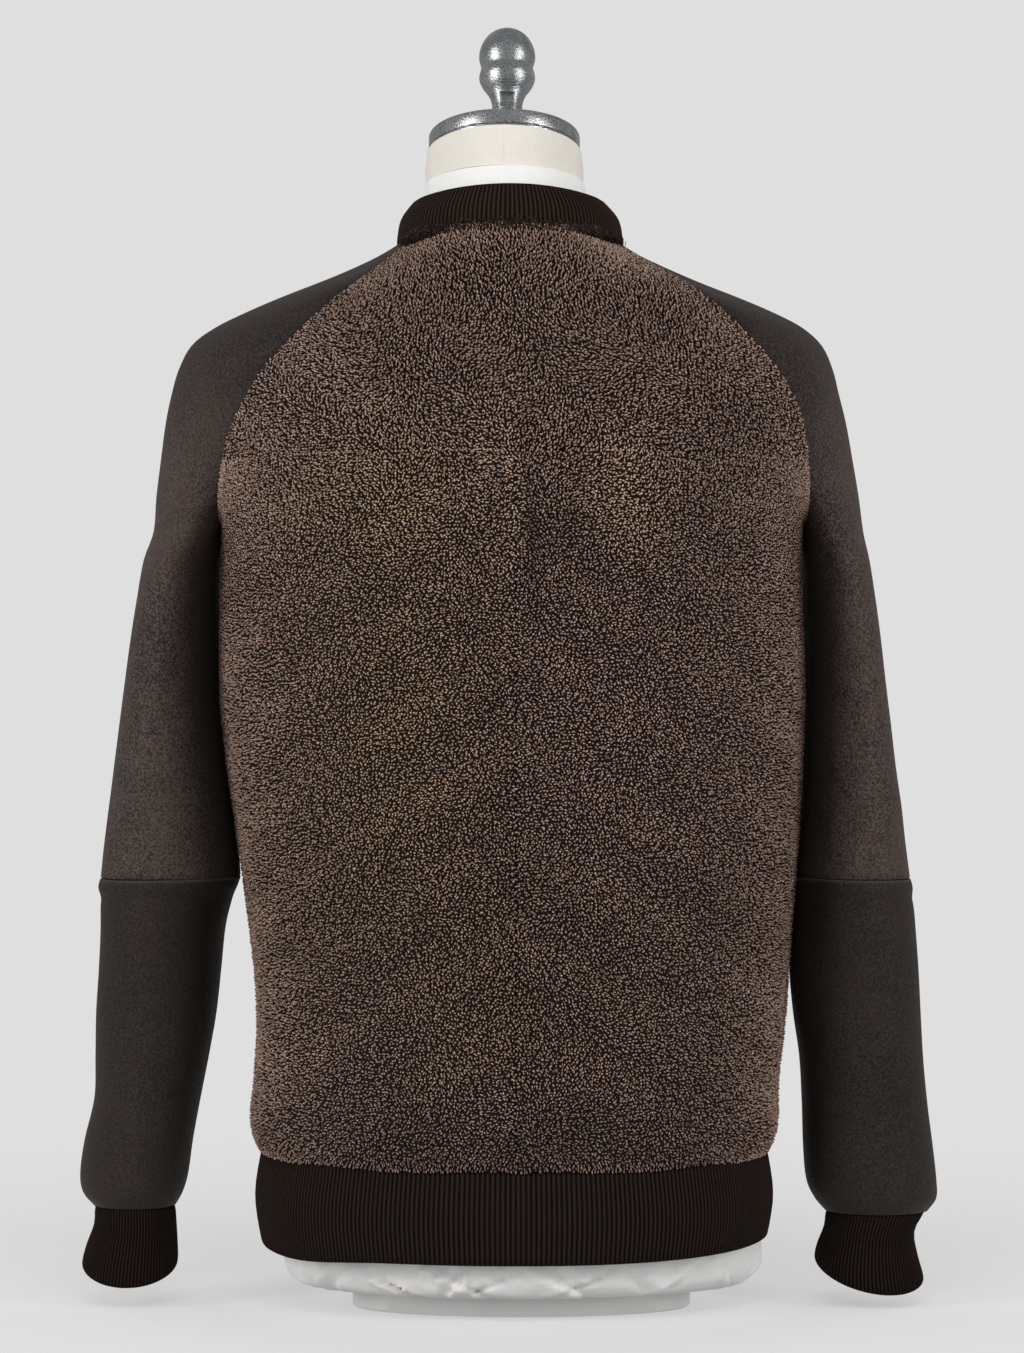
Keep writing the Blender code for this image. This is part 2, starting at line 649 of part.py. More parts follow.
def ribbed_band(name, row_count, place, ribs, inner_columns, closed):
    """A knit wall with ribs raised outside and a plain inside.

    place(row, share) gives a point of the outer face and the unit direction out of it."""
    columns = 2 * ribs
    outer_shares = np.arange(columns + 1) / columns
    inner_shares = np.arange(inner_columns + 1) / inner_columns
    points = []
    outer = []
    inner = []
    for row in range(row_count):
        line = []
        for index in range(columns if closed else columns + 1):
            base, out = place(row, outer_shares[index])
            line.append(len(points))
            points.append(base + out * RIB_HEIGHT * (index % 2))
        outer.append(line + line[:1] if closed else line)
    for row in range(row_count):
        line = []
        for index in range(inner_columns if closed else inner_columns + 1):
            base, out = place(row, inner_shares[index])
            line.append(len(points))
            points.append(base - out * RIB_WALL)
        inner.append(line + line[:1] if closed else line)
    faces = []
    for lines in (outer, inner):
        for row in range(row_count - 1):
            for c in range(len(lines[0]) - 1):
                faces.append((lines[row][c], lines[row][c + 1], lines[row + 1][c + 1], lines[row + 1][c]))
    for row in (0, row_count - 1):
        faces += bridge(outer[row], inner[row], outer_shares, inner_shares)
    if not closed:
        for end in (0, -1):
            for row in range(row_count - 1):
                faces.append((outer[row][end], outer[row + 1][end], inner[row + 1][end], inner[row][end]))
    return solid(name, points, faces, "rib_knit", 80.0)


def level_outward(before, after, middle):
    """Unit vector level with the floor, square to the line and away from the middle."""
    line = after - before
    out = unit(np.array([line[1], -line[0], 0.0]))
    here = (before + after) / 2.0 - middle
    return out if out[0] * here[0] + out[1] * here[1] > 0 else -out


def hem_point(row, share):
    """Share 0 is the left zip edge, 0.5 the centre back and 1 the right zip edge."""
    side = -1.0 if share < 0.5 else 1.0
    start = zip_share(row, side, False, HEM)
    along = abs(share - 0.5) * 2.0 * (2.0 - start)
    if along <= 1.0:
        return low_row(HEM, row, side, along, "back")
    return low_row(HEM, row, side, 2.0 - along, "front")


def collar_point(row, share):
    side = -1.0 if share < 0.5 else 1.0
    opening = math.degrees(math.asin(COLLAR_HALF_OPENING / COLLAR["left"][0]))
    angle = abs(share - 0.5) * 2.0 * (180.0 - opening)
    values = {key: column[row] for key, column in COLLAR.items()}
    return neck_point(values, side, angle)


def cuff_point(row, share, side):
    drop = RIGHT_HAND_DROP if side > 0 else 0.0
    point = sleeve_ring(CUFF, row, side, np.array([share]), drop)[0]
    middle_y = (CUFF["back"][row] + CUFF["front"][row]) / 2.0
    point[2] += CUFF["slope"][row] * (point[1] - middle_y)
    return point


def placed(point_at, middle, small=0.002):
    """Turn a rule for points into one for points with their outward directions."""
    def place(row, share):
        before = point_at(row, max(share - small, 0.0))
        after = point_at(row, min(share + small, 1.0))
        return point_at(row, share), level_outward(before, after, middle)
    return place


def make_bands():
    ribbed_band("hem_band", len(HEM["z"]), placed(hem_point, np.array([BODY_MIDDLE, 0.0, 0.0])),
                HEM_RIBS, 56, False)
    make_collar()
    for side in (-1.0, 1.0):
        name = side_name(side)
        middle = np.array([
            side * (CUFF[name + "_out"][0] + CUFF[name + "_in"][0]) / 2.0,
            (CUFF["back"][0] + CUFF["front"][0]) / 2.0, 0.0])

        def point_at(row, share, side=side):
            return cuff_point(row, share % 1.0, side)

        def place(row, share, point_at=point_at, middle=middle):
            out = level_outward(point_at(row, share - 0.002), point_at(row, share + 0.002), middle)
            return point_at(row, share), out

        ribbed_band("cuff_" + name, len(CUFF["z"]), place, CUFF_RIBS, 20, True)


def make_collar():
    """Stand collar with a rounded fold along its top edge."""
    rows = len(COLLAR["left"])
    base = placed(collar_point, np.array([0.0, COLLAR_SIDE_Y, 0.0]))

    def place(row, share):
        if row < rows:
            return base(row, share)
        point, out = base(rows - 1, share)
        return point - out * RIB_WALL * 0.4 + np.array([0.0, 0.0, COLLAR_LIP]), out * 0.25

    ribbed_band("collar", rows + 1, place, COLLAR_RIBS, 36, False)


# Zip

def front_line(row, upper, offset_x, rows=BODY):
    """Point on the front's surface beside the zip, and its direction out."""
    if upper and row == HIGH - 1:
        middle = neck_point(NECK, 1.0, 180.0)
        return middle + np.array([offset_x, 0.0, 0.0])
    side = 1.0 if offset_x >= 0 else -1.0
    reach = SEAM_FRONT[side_name(side)][row] if upper else rows[side_name(side)][row]
    middle_x = MIDDLE["x"][row] if upper else BODY_MIDDLE
    angle = math.radians(MIDDLE["front_angle"][row] if upper else 90.0)
    share = math.asin(abs(offset_x) / (reach - side * middle_x) * math.sin(angle)) / angle
    if upper:
        return high_row(row, side, share, "front")
    return low_row(rows, row, side, share, "front")


def zip_rows(offset_x):
    """Surface points up the front from the hem's edge to the neck, at one distance from the zip."""
    hem = [front_line(row, False, offset_x, HEM) for row in range(len(HEM["z"]) - 1, 0, -1)]
    low = [front_line(row, False, offset_x) for row in range(LOW)]
    high = [front_line(row, True, offset_x) for row in range(HIGH - 1)]
    return np.array(hem + low + high)


def zip_grid(start, end):
    points = np.stack([zip_rows(start), zip_rows((start + end) / 2.0), zip_rows(end)], axis=1)
    return points, grid_normals(points, np.array([BODY_MIDDLE, 0.0, 400.0]))


def make_zip():
    for side in (-1.0, 1.0):
        points, normals = zip_grid(side * SEAM_GAP / 2.0, side * TAPE_HALF_WIDTH)
        outer = points - normals * TAPE_DEPTH
        inner = outer - normals * TAPE_THICKNESS
        rows, columns = outer.shape[:2]
        wall("zip_tape_" + side_name(side), outer.reshape(-1, 3), inner.reshape(-1, 3),
             grid_faces(rows, columns), "zip_tape")


def box_points(size, middle):
    corners = [(x, y, z) for x in (-0.5, 0.5) for y in (-0.5, 0.5) for z in (-0.5, 0.5)]
    return [tuple(m + s * c for m, s, c in zip(middle, size, corner)) for corner in corners]


BOX_FACES = [(0, 1, 3, 2), (4, 6, 7, 5), (0, 4, 5, 1), (2, 3, 7, 6), (0, 2, 6, 4), (1, 5, 7, 3)]


def box(name, size, middle, material_name):
    return solid(name, box_points(size, middle), BOX_FACES, material_name, 30.0)


def combine(target, other, operation):
    """Join or cut one object with another and apply the result."""
    modifier = target.modifiers.new("combine", "BOOLEAN")
    modifier.operation = operation
    modifier.object = other
    view = bpy.context.evaluated_depsgraph_get()
    joined = bpy.data.meshes.new_from_object(target.evaluated_get(view))
    target.modifiers.remove(modifier)
    target.data = joined
    bpy.data.objects.remove(other)


# Slider and tab in their own frame: x across, y out of the cloth, z up along the zip.
SLIDER_SIZE = (9.0, 4.2, 12.0)
SLIDER_DEPTH = 1.3        # the slider's middle lies this far under the cloth's outer face
LOOP_WIDTH = 2.0
LOOP_BAR = 1.3
LOOP_RISE = 3.2
LOOP_LENGTH = 8.0
TAB_WIDTH = 6.8
TAB_THICKNESS = 1.3
TAB_LENGTH = 30.0
TAB_WINDOW = (3.1, 7.5)   # width and length of the hole that goes round the slider's loop
SLIDER_ROW = 9.6          # row of the upper tables beside which the slider stands


def slider_frame():
    """Place on the front's middle line, and the frame turned to the cloth there."""
    lower = int(SLIDER_ROW)
    share = SLIDER_ROW - lower
    points = [front_line(row, True, 0.0) for row in (lower, lower + 1)]
    place = points[0] + (points[1] - points[0]) * share
    up = unit(points[1] - points[0])
    up[0] = 0.0
    up = unit(up)
    out = np.cross(up, (1.0, 0.0, 0.0))
    out = out if out[1] > 0 else -out
    frame = Matrix(((1.0, 0.0, 0.0), (0.0, out[1], up[1]), (0.0, out[2], up[2]))).to_4x4()
    frame.translation = Vector(place) * MM
    return frame


def blocks(name, cuts, filled, material_name):
    """Solid made of the filled cells of a grid with the given cuts along x, y and z."""
    filled = set(filled)
    index = {}
    points = []
    faces = []

    def corner(place):
        if place not in index:
            index[place] = len(points)
            points.append([cuts[axis][place[axis]] for axis in range(3)])
        return index[place]

    for cell in sorted(filled):
        for axis in range(3):
            first, second = [other for other in range(3) if other != axis]
            for step in (0, 1):
                beside = list(cell)
                beside[axis] += 1 if step else -1
                if tuple(beside) in filled:
                    continue
                ring = []
                for along, across in ((0, 0), (1, 0), (1, 1), (0, 1)):
                    place = list(cell)
                    place[axis] += step
                    place[first] += along
                    place[second] += across
                    ring.append(corner(tuple(place)))
                faces.append(tuple(ring))
    return solid(name, points, faces, material_name, 30.0)


def make_slider():
    frame = slider_frame()
    width, height, length = SLIDER_SIZE
    top = height / 2.0 - SLIDER_DEPTH
    cuts = (
        (-width / 2.0, -LOOP_WIDTH / 2.0, LOOP_WIDTH / 2.0, width / 2.0),
        (top - height, top, top + LOOP_RISE, top + LOOP_RISE + LOOP_BAR),
        (-length / 2.0, -LOOP_LENGTH / 2.0, LOOP_BAR - LOOP_LENGTH / 2.0,
         LOOP_LENGTH / 2.0 - LOOP_BAR, LOOP_LENGTH / 2.0, length / 2.0))
    base = [(x, 0, z) for x in range(3) for z in range(5)]
    posts = [(1, 1, 1), (1, 1, 3)]
    bar = [(1, 2, z) for z in (1, 2, 3)]
    slider = blocks("zip_slider", cuts, base + posts + bar, "zip_metal")
    slider.matrix_world = frame
    pivot = bpy.data.objects.new("zip_tab_pivot", None)
    bpy.context.collection.objects.link(pivot)
    pivot.matrix_world = frame @ Matrix.Translation(Vector((0.0, top + LOOP_RISE / 2.0, 0.0)) * MM)
    half = TAB_THICKNESS / 2.0
    tab_cuts = (
        (-TAB_WIDTH / 2.0, -TAB_WINDOW[0] / 2.0, TAB_WINDOW[0] / 2.0, TAB_WIDTH / 2.0),
        (-half, half),
        (half - TAB_LENGTH, -half - TAB_WINDOW[1], -half, half))
    cells = [(x, 0, z) for x in range(3) for z in range(3) if (x, z) != (1, 1)]
    tab = blocks("zip_pull_tab", tab_cuts, cells, "zip_metal")
    tab.parent = pivot


# Dress form

def form_ring(values):
    angles = 2.0 * np.pi * np.arange(RING_COLUMNS) / RING_COLUMNS
    side = np.where(np.sin(angles) < 0, values["left"], values["right"])
    depth = np.where(np.cos(angles) > 0, values["back"], values["front"])
    x = side * np.sin(angles)
    y = -depth * np.cos(angles)
    z = values["z"] + values["rise"] * np.cos(angles)
    return np.stack([x, y, z], axis=1)


def loft(name, rings, material_name, smooth_angle=50.0):
    """Closed solid through rings, with flat ends."""
    columns = len(rings[0])
    faces = [(r * columns + c, r * columns + (c + 1) % columns,
              (r + 1) * columns + (c + 1) % columns, (r + 1) * columns + c)
             for r in range(len(rings) - 1) for c in range(columns)]
    last = (len(rings) - 1) * columns
    faces += [tuple(range(columns)), tuple(range(last, last + columns))]
    return solid(name, np.concatenate(rings), faces, material_name, smooth_angle)


def leaning_ring(middle, width, depth, lean, columns=RING_COLUMNS):
    """Ellipse whose back is raised by the lean in degrees."""
    angles = 2.0 * np.pi * np.arange(columns) / columns
    turn = math.radians(lean)
    x = middle[0] + width * np.sin(angles)
    y = middle[1] - depth * np.cos(angles) * math.cos(turn)
    z = middle[2] + depth * np.cos(angles) * math.sin(turn)
    return np.stack([x, y, z], axis=1)


def lathe(profile, columns):
    angles = 2.0 * np.pi * np.arange(columns) / columns
    return [np.stack([r * np.sin(angles), -r * np.cos(angles), np.full(columns, z)], axis=1)
            for r, z in profile]


def make_form():
    rings = [form_ring({key: column[row] for key, column in FORM.items()})
             for row in range(len(FORM["z"]))]
    loft("form_body", rings, "white_cloth", 60.0)
    foot = (NECK_MIDDLE_X, 5.0, FORM["z"][-1] + 0.4)
    head = (CAP_MIDDLE[0], CAP_MIDDLE[1], CAP_MIDDLE[2] - 0.4)
    middles = [np.array(foot) + (np.array(head) - np.array(foot)) * share for share in (0.0, 0.5, 1.0)]
    leans = (NECK_LEAN, (NECK_LEAN + CAP_LEAN) / 2.0, CAP_LEAN)
    widths = (NECK_WIDTH - 0.4, NECK_WIDTH - 0.2, NECK_WIDTH - 1.6)
    rings = [leaning_ring(middle, width, NECK_DEPTH + width - NECK_WIDTH, lean)
             for middle, width, lean in zip(middles, widths, leans)]
    loft("form_neck", rings, "cream_cloth")
    lean = Matrix.Rotation(math.radians(-CAP_LEAN), 4, "X")
    rim = [(CAP_RADIUS - 0.8, 0.0), (CAP_RADIUS, 0.8), (CAP_RADIUS, CAP_HEIGHT - 1.2),
           (CAP_RADIUS - 1.2, CAP_HEIGHT), (CAP_RADIUS - 5.0, CAP_HEIGHT),
           (CAP_RADIUS - 6.0, CAP_HEIGHT - 1.0)]
    cap = loft("form_neck_cap", lathe(rim, 32), "cap_metal", 35.0)
    cap.matrix_world = Matrix.Translation(Vector(CAP_MIDDLE) * MM) @ lean
    profile = list(zip(FINIAL["radius"], FINIAL["height"]))
    finial = loft("form_finial", lathe(profile, 20), "cap_metal", 35.0)
    width, depth, height, level = RECESS
    cutter = box("recess", (width, STEM_RADIUS, height),
                 (0.0, depth - 1.5 * STEM_RADIUS, level), "cap_metal")
    combine(finial, cutter, "DIFFERENCE")
    seat = Matrix.Translation(Vector((FINIAL_X - CAP_MIDDLE[0], 0.0, CAP_HEIGHT - 1.0 + 0.3)) * MM)
    finial.matrix_world = cap.matrix_world @ seat
    plate = [(1.0, 0.0), (1.0, BASE_HEIGHT)]
    rings = lathe(plate, 40)
    for ring in rings:
        ring[:, 0] = ring[:, 0] * BASE_HALF[0] + BASE_MIDDLE_X
        ring[:, 1] *= BASE_HALF[1]
    loft("form_base", rings, "base_paint", 35.0)


def centre_model():
    """Bring the middle of the whole outline over the origin. Children follow their parents."""
    shift = Matrix.Translation(Vector((*CENTRE_SHIFT, 0.0)) * MM)
    for made in bpy.data.objects:
        if made.parent is None:
            made.matrix_world = shift @ made.matrix_world


def main():
    for existing in list(bpy.data.objects):
        bpy.data.objects.remove(existing)
    make_body_and_sleeves()
    for side in (-1.0, 1.0):
        make_lower_sleeve(side)
    make_bands()
    make_zip()
    make_slider()
    make_form()
    centre_model()


main()
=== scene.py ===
import math

import bpy
import numpy as np
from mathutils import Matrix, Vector


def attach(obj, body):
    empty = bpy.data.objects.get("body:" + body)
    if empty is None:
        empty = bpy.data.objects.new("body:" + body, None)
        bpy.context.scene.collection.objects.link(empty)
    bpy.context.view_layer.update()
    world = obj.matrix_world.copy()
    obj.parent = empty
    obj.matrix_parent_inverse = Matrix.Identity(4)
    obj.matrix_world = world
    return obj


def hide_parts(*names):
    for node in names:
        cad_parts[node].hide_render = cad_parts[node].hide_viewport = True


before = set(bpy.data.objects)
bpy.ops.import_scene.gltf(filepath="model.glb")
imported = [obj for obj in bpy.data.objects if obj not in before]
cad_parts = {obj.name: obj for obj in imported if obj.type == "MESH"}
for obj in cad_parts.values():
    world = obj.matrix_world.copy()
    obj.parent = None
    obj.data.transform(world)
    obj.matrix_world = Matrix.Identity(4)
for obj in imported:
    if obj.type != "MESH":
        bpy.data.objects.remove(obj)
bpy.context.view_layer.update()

# The tables are in millimetres and run from the neck's line. Meshes are in metres.
# +x is the wearer's right, -y is the back of the garment, z is up.
mm = 0.001
modelShift = np.array([1.3, 9.0, 0.0])
jacketBody = "jacket_and_form"
rng = np.random.default_rng(11)
made = {}


def columns(header, rows):
    # Named columns of a short table, as arrays.
    values = np.array(rows, dtype=float)
    return {name: values[:, index] for index, name in enumerate(header.split())}


def unit(vectors):
    # Each vector divided by its length.
    return vectors / np.maximum(np.linalg.norm(vectors, axis=-1, keepdims=True), 1e-9)


def smoothstep(start, end, value):
    # 0 before start, 1 after end, and 3t2 - 2t3 between them.
    share = np.clip((value - start) / (end - start), 0.0, 1.0)
    return share * share * (3.0 - 2.0 * share)


def bell(value, width):
    # A bump of height 1 that falls as exp(-(value / width) squared).
    return np.exp(-(value / width) ** 2)


def runAlong(points):
    # Distance from the start of a line of points, or of the rows of a grid, to each of its points.
    steps = np.linalg.norm(np.diff(points, axis=0), axis=-1)
    return np.concatenate([np.zeros((1,) + steps.shape[1:]), np.cumsum(steps, axis=0)])


def placesAlong(spots, run, line):
    # Points at given distances along a line.
    return np.stack([np.interp(spots, run, line[:, axis]) for axis in range(3)], 1)


def slopeAcross(points, closed):
    # Change from column to column of a grid. A closed grid's last column lies on its first.
    if not closed:
        return np.gradient(points, axis=1)
    wide = np.concatenate([points[:, -2:-1], points, points[:, 1:2]], axis=1)
    return (wide[:, 2:] - wide[:, :-2]) / 2.0


def smoothRows(points, steps):
    # More rows between a grid's rows, on the cubic through each row and its neighbours.
    last = points[-1:]
    before = np.concatenate([2 * points[:1] - points[1:2], points[:-2]])[:, None]
    after = np.concatenate([points[2:], 2 * last - points[-2:-1]])[:, None]
    start = points[:-1][:, None]
    end = points[1:][:, None]
    t = (np.arange(steps) / steps).reshape((1, steps) + (1,) * (points.ndim - 1))
    rows = 0.5 * (2 * start + (end - before) * t
                  + (2 * before - 5 * start + 4 * end - after) * t ** 2
                  + (3 * start - before - 3 * end + after) * t ** 3)
    return np.concatenate([rows.reshape((-1,) + points.shape[1:]), last])


def gridNormals(points, middle, closed=False):
    # Cross product of the two directions of a grid, turned away from a middle point.
    normals = unit(np.cross(np.gradient(points, axis=0), slopeAcross(points, closed)))
    return normals * np.sign(np.sum(normals * (points - middle)))


def signedVolume(points, faces):
    # Sum of the tetrahedra between the origin and each face's fan of triangles.
    total = 0.0
    for group in faces:
        for corner in range(1, group.shape[1] - 1):
            a, b, c = (points[group[:, index]] for index in (0, corner, corner + 1))
            total += np.sum(a * np.cross(b, c))
    return total


def addPiece(name, points, faces, finish, replaces=(), uv=None, values=None, sharp=None):
    # One object from points in millimetres and arrays of faces. Closed shapes are turned outward.
    points = np.asarray(points, float) + modelShift
    faces = [np.asarray(group) for group in faces if len(group)]
    if signedVolume(points, faces) < 0:
        faces = [group[:, ::-1] for group in faces]
    mesh = bpy.data.meshes.new(name)
    mesh.from_pydata((points * mm).tolist(), [], [row for group in faces for row in group.tolist()])
    corners = np.empty(len(mesh.loops), int)
    mesh.loops.foreach_get("vertex_index", corners)
    if uv is not None:
        layer = mesh.uv_layers.new(name="cloth")
        layer.data.foreach_set("uv", np.asarray(uv, float)[corners].ravel())
    for key, numbers in (values or {}).items():
        attribute = mesh.attributes.new(key, "FLOAT", "POINT")
        attribute.data.foreach_set("value", np.asarray(numbers, np.float32).ravel())
    mesh.shade_smooth()
    if sharp:
        mesh.set_sharp_from_angle(angle=math.radians(sharp))
    mesh.materials.append(finish)
    piece = bpy.data.objects.new(name, mesh)
    bpy.context.scene.collection.objects.link(piece)
    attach(piece, jacketBody)
    if replaces:
        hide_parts(*replaces)
    made[name] = piece
    return piece


def gridFaces(rows, cols, start=0):
    # Quads of a grid of points that are numbered row by row.
    corner = start + np.arange(rows - 1)[:, None] * cols + np.arange(cols - 1)
    corner = corner.ravel()
    return np.stack([corner, corner + 1, corner + cols + 1, corner + cols], axis=1)


def tubeFaces(rows, cols):
    # Quads of a grid whose last column joins its first.
    corner = np.arange(rows - 1)[:, None] * cols + np.arange(cols)
    right = np.arange(rows - 1)[:, None] * cols + (np.arange(cols) + 1) % cols
    return np.stack([corner, right, right + cols, corner + cols], axis=2).reshape(-1, 4)


def shell(outer, inner, roll=0.4, closed=False):
    # Two faces of a cloth joined by a rounded rim. A closed grid's last column lies on its first.
    if closed:
        outer = outer[:, :-1]
        inner = inner[:, :-1]
    rows, cols = outer.shape[:2]
    count = rows * cols
    middle = (outer + inner) / 2.0
    if closed:
        rims = [(0, 1), (rows - 1, rows - 2)]
        sheet = tubeFaces(rows, cols)
        loops = [(row * cols + np.arange(cols), middle[row] - middle[beside]) for row, beside in rims]
    else:
        sheet = gridFaces(rows, cols)
        ring = np.concatenate([
            np.arange(cols), np.arange(1, rows) * cols + cols - 1,
            (rows - 1) * cols + np.arange(cols - 2, -1, -1), np.arange(rows - 2, 0, -1) * cols])
        row, col = ring // cols, ring % cols
        within = middle[np.clip(row, 1, rows - 2), np.clip(col, 1, cols - 2)]
        loops = [(ring, middle[row, col] - within)]
    points = [outer.reshape(-1, 3), inner.reshape(-1, 3)]
    faces = [sheet, sheet[:, ::-1] + count]
    total = 2 * count
    for index, (ring, out) in enumerate(loops):
        points.append(middle.reshape(-1, 3)[ring] + unit(out) * roll)
        step = np.arange(len(ring))
        after = (step + 1) % len(ring)
        for first, second in ((ring, total + step), (total + step, ring + count)):
            quad = np.stack([first[after], first, second, second[after]], axis=1)
            faces.append(quad[:, ::-1] if closed and index == 1 else quad)
        total += len(ring)
    return np.concatenate(points), faces


# Materials

def tone(red, green, blue):
    # A display colour from 0 to 255 as a linear shader colour.
    values = np.array([red, green, blue]) / 255.0
    linear = np.where(values < 0.04045, values / 12.92, ((values + 0.055) / 1.055) ** 2.4)
    return (*linear.tolist(), 1.0)


class Wire:
    # One socket of a material. Sums, products and powers of it add Math nodes.
    def __init__(self, finish, socket):
        self.finish = finish
        self.socket = socket

    def __add__(self, other):
        return self.finish.maths("ADD", self, other)

    __radd__ = __add__

    def __sub__(self, other):
        return self.finish.maths("SUBTRACT", self, other)

    def __rsub__(self, other):
        return self.finish.maths("SUBTRACT", other, self)

    def __mul__(self, other):
        return self.finish.maths("MULTIPLY", self, other)

    __rmul__ = __mul__

    def __pow__(self, other):
        return self.finish.maths("POWER", self, other)


class Finish:
    # A material with a Principled shader, whose constant numbers are given by name.
    def __init__(self, name, constants):
        self.material = bpy.data.materials.new(name)
        self.material.use_nodes = True
        self.tree = self.material.node_tree
        self.shader = self.tree.nodes["Principled BSDF"]
        for socket, value in constants.items():
            self.shader.inputs[socket].default_value = value
        self.place = self.node("ShaderNodeTexCoord", {}, {}, "Object")

    def node(self, kind, settings, sockets, output=0):
        node = self.tree.nodes.new(kind)
        for name, value in settings.items():
            if name == "stops":
                ramp = node.color_ramp
                while len(ramp.elements) < len(value):
                    ramp.elements.new(0.5)
                for element, (position, colour) in zip(ramp.elements, value):
                    element.position = position
                    element.color = colour
            else:
                setattr(node, name, value)
        for name, value in sockets.items():
            self.join(value, node.inputs[name])
        return Wire(self, node.outputs[output])

    def join(self, value, socket):
        if isinstance(value, Wire):
            self.tree.links.new(value.socket, socket)
        else:
            socket.default_value = value

    def maths(self, operation, first, second):
        return self.node("ShaderNodeMath", {"operation": operation}, {0: first, 1: second})

    def clamp(self, value):
        return self.node("ShaderNodeClamp", {}, {"Value": value})

    def mix(self, share, first, second, blend="MIX"):
        return self.node("ShaderNodeMix", {"data_type": "RGBA", "blend_type": blend},
                         {0: share, 6: first, 7: second}, 2)

    def scaled(self, colour, amount):
        return self.node("ShaderNodeVectorMath", {"operation": "SCALE"},
                         {0: colour, "Scale": amount})

    def noise(self, scale, detail=2.0, vector=None, roughness=0.5):
        return self.node("ShaderNodeTexNoise", {}, {
            "Vector": vector or self.place, "Scale": scale, "Detail": detail,
            "Roughness": roughness}, "Fac")

    def cells(self, scale, vector=None, feature="F1"):
        return self.node("ShaderNodeTexVoronoi", {"feature": feature},
                         {"Vector": vector or self.place, "Scale": scale}, "Distance")

    def waves(self, direction, scale, vector=None, distortion=0.0):
        return self.node("ShaderNodeTexWave", {"wave_type": "BANDS", "bands_direction": direction}, {
            "Vector": vector or self.place, "Scale": scale, "Distortion": distortion}, "Fac")

    def attribute(self, name):
        return self.node("ShaderNodeAttribute", {"attribute_name": name}, {}, "Fac")

    def bump(self, height, distance, strength=1.0):
        return self.node("ShaderNodeBump", {}, {
            "Height": height, "Distance": distance, "Strength": strength}, "Normal")

    def done(self, **sockets):
        names = {"colour": "Base Color", "roughness": "Roughness", "normal": "Normal",
                 "metallic": "Metallic", "alpha": "Alpha"}
        for name, value in sockets.items():
            self.join(value, self.shader.inputs[names[name]])
        return self.material


shearlingLook = {
    # root and side are painted shade low in the pile, crest and tip a painted highlight
    "root": tone(12, 6, 3),
    "side": tone(38, 24, 19),
    "crest": tone(152, 125, 113),
    "tip": tone(202, 176, 162),
    "patchStrength": 0.45,
    "cellSize": 290.0,      # tufts of the mat in a metre
}


def shearlingFinish(name, mat):
    # Curls are dark at the root and pale at the crest: painted shade low between the curls and a painted
    # highlight on the crests. The mat under them has shaken cells for its small tufts in place of the curls'
    # own heights, pale in their middles and dark at their edges, which is painted shade between the tufts.
    look = shearlingLook
    finish = Finish(name, {"Roughness": 0.75, "Specular IOR Level": 0.22})
    patch = finish.attribute("patch")
    olive = finish.attribute("olive")
    strands = finish.noise(1100.0, 1.0)
    if mat:
        shaken = finish.node("ShaderNodeTexNoise", {}, {
            "Vector": finish.place, "Scale": 150.0, "Detail": 1.0}, "Color")
        place = finish.node("ShaderNodeVectorMath", {"operation": "MULTIPLY_ADD"}, {
            0: shaken, 1: (0.005, 0.005, 0.005), 2: finish.place})
        cell = finish.cells(look["cellSize"], place)
        crown = finish.clamp(1.0 - cell * 1.5)
        level = finish.clamp(crown * 0.45 + strands * 0.25 - 0.24)
        height = crown + strands * 0.3
        depth = 0.0022
    else:
        level = finish.clamp(finish.attribute("tip") * 0.98 + finish.attribute("shade") * 0.30
                             + strands * 0.36 - 0.31)
        height = finish.noise(1500.0, 1.0)
        depth = 0.0006
    colour = finish.node("ShaderNodeValToRGB", {"stops": [
        (0.0, look["root"]), (0.34, look["side"]), (0.78, look["crest"]), (1.0, look["tip"])]},
        {"Fac": level}, "Color")
    warm = finish.mix(olive * 0.8, (1.0, 0.985, 0.99, 1.0), (0.98, 1.0, 0.74, 1.0))
    colour = finish.mix(1.0, colour, warm, "MULTIPLY")
    # The patches lighten and darken the pile, some of them as painted shade.
    colour = finish.scaled(colour, patch * look["patchStrength"] + 1.0)
    return finish.done(colour=colour, normal=finish.bump(height, depth, 0.6))


leatherLook = {
    "dark": tone(34, 28, 26),
    "light": tone(86, 75, 70),
    # warm is the colour of the cloudy blotches and of the painted sheen on the outer side
    "warm": tone(64, 50, 38),
    "worn": tone(88, 77, 70),
    "lowerShade": 0.34,     # painted shade that darkens the lower sleeves
    "innerShade": 0.14,     # and painted shade on the side that lies against the body
    "grainSize": 900.0,     # grains in a metre
    "grainDepth": 0.0004,
}


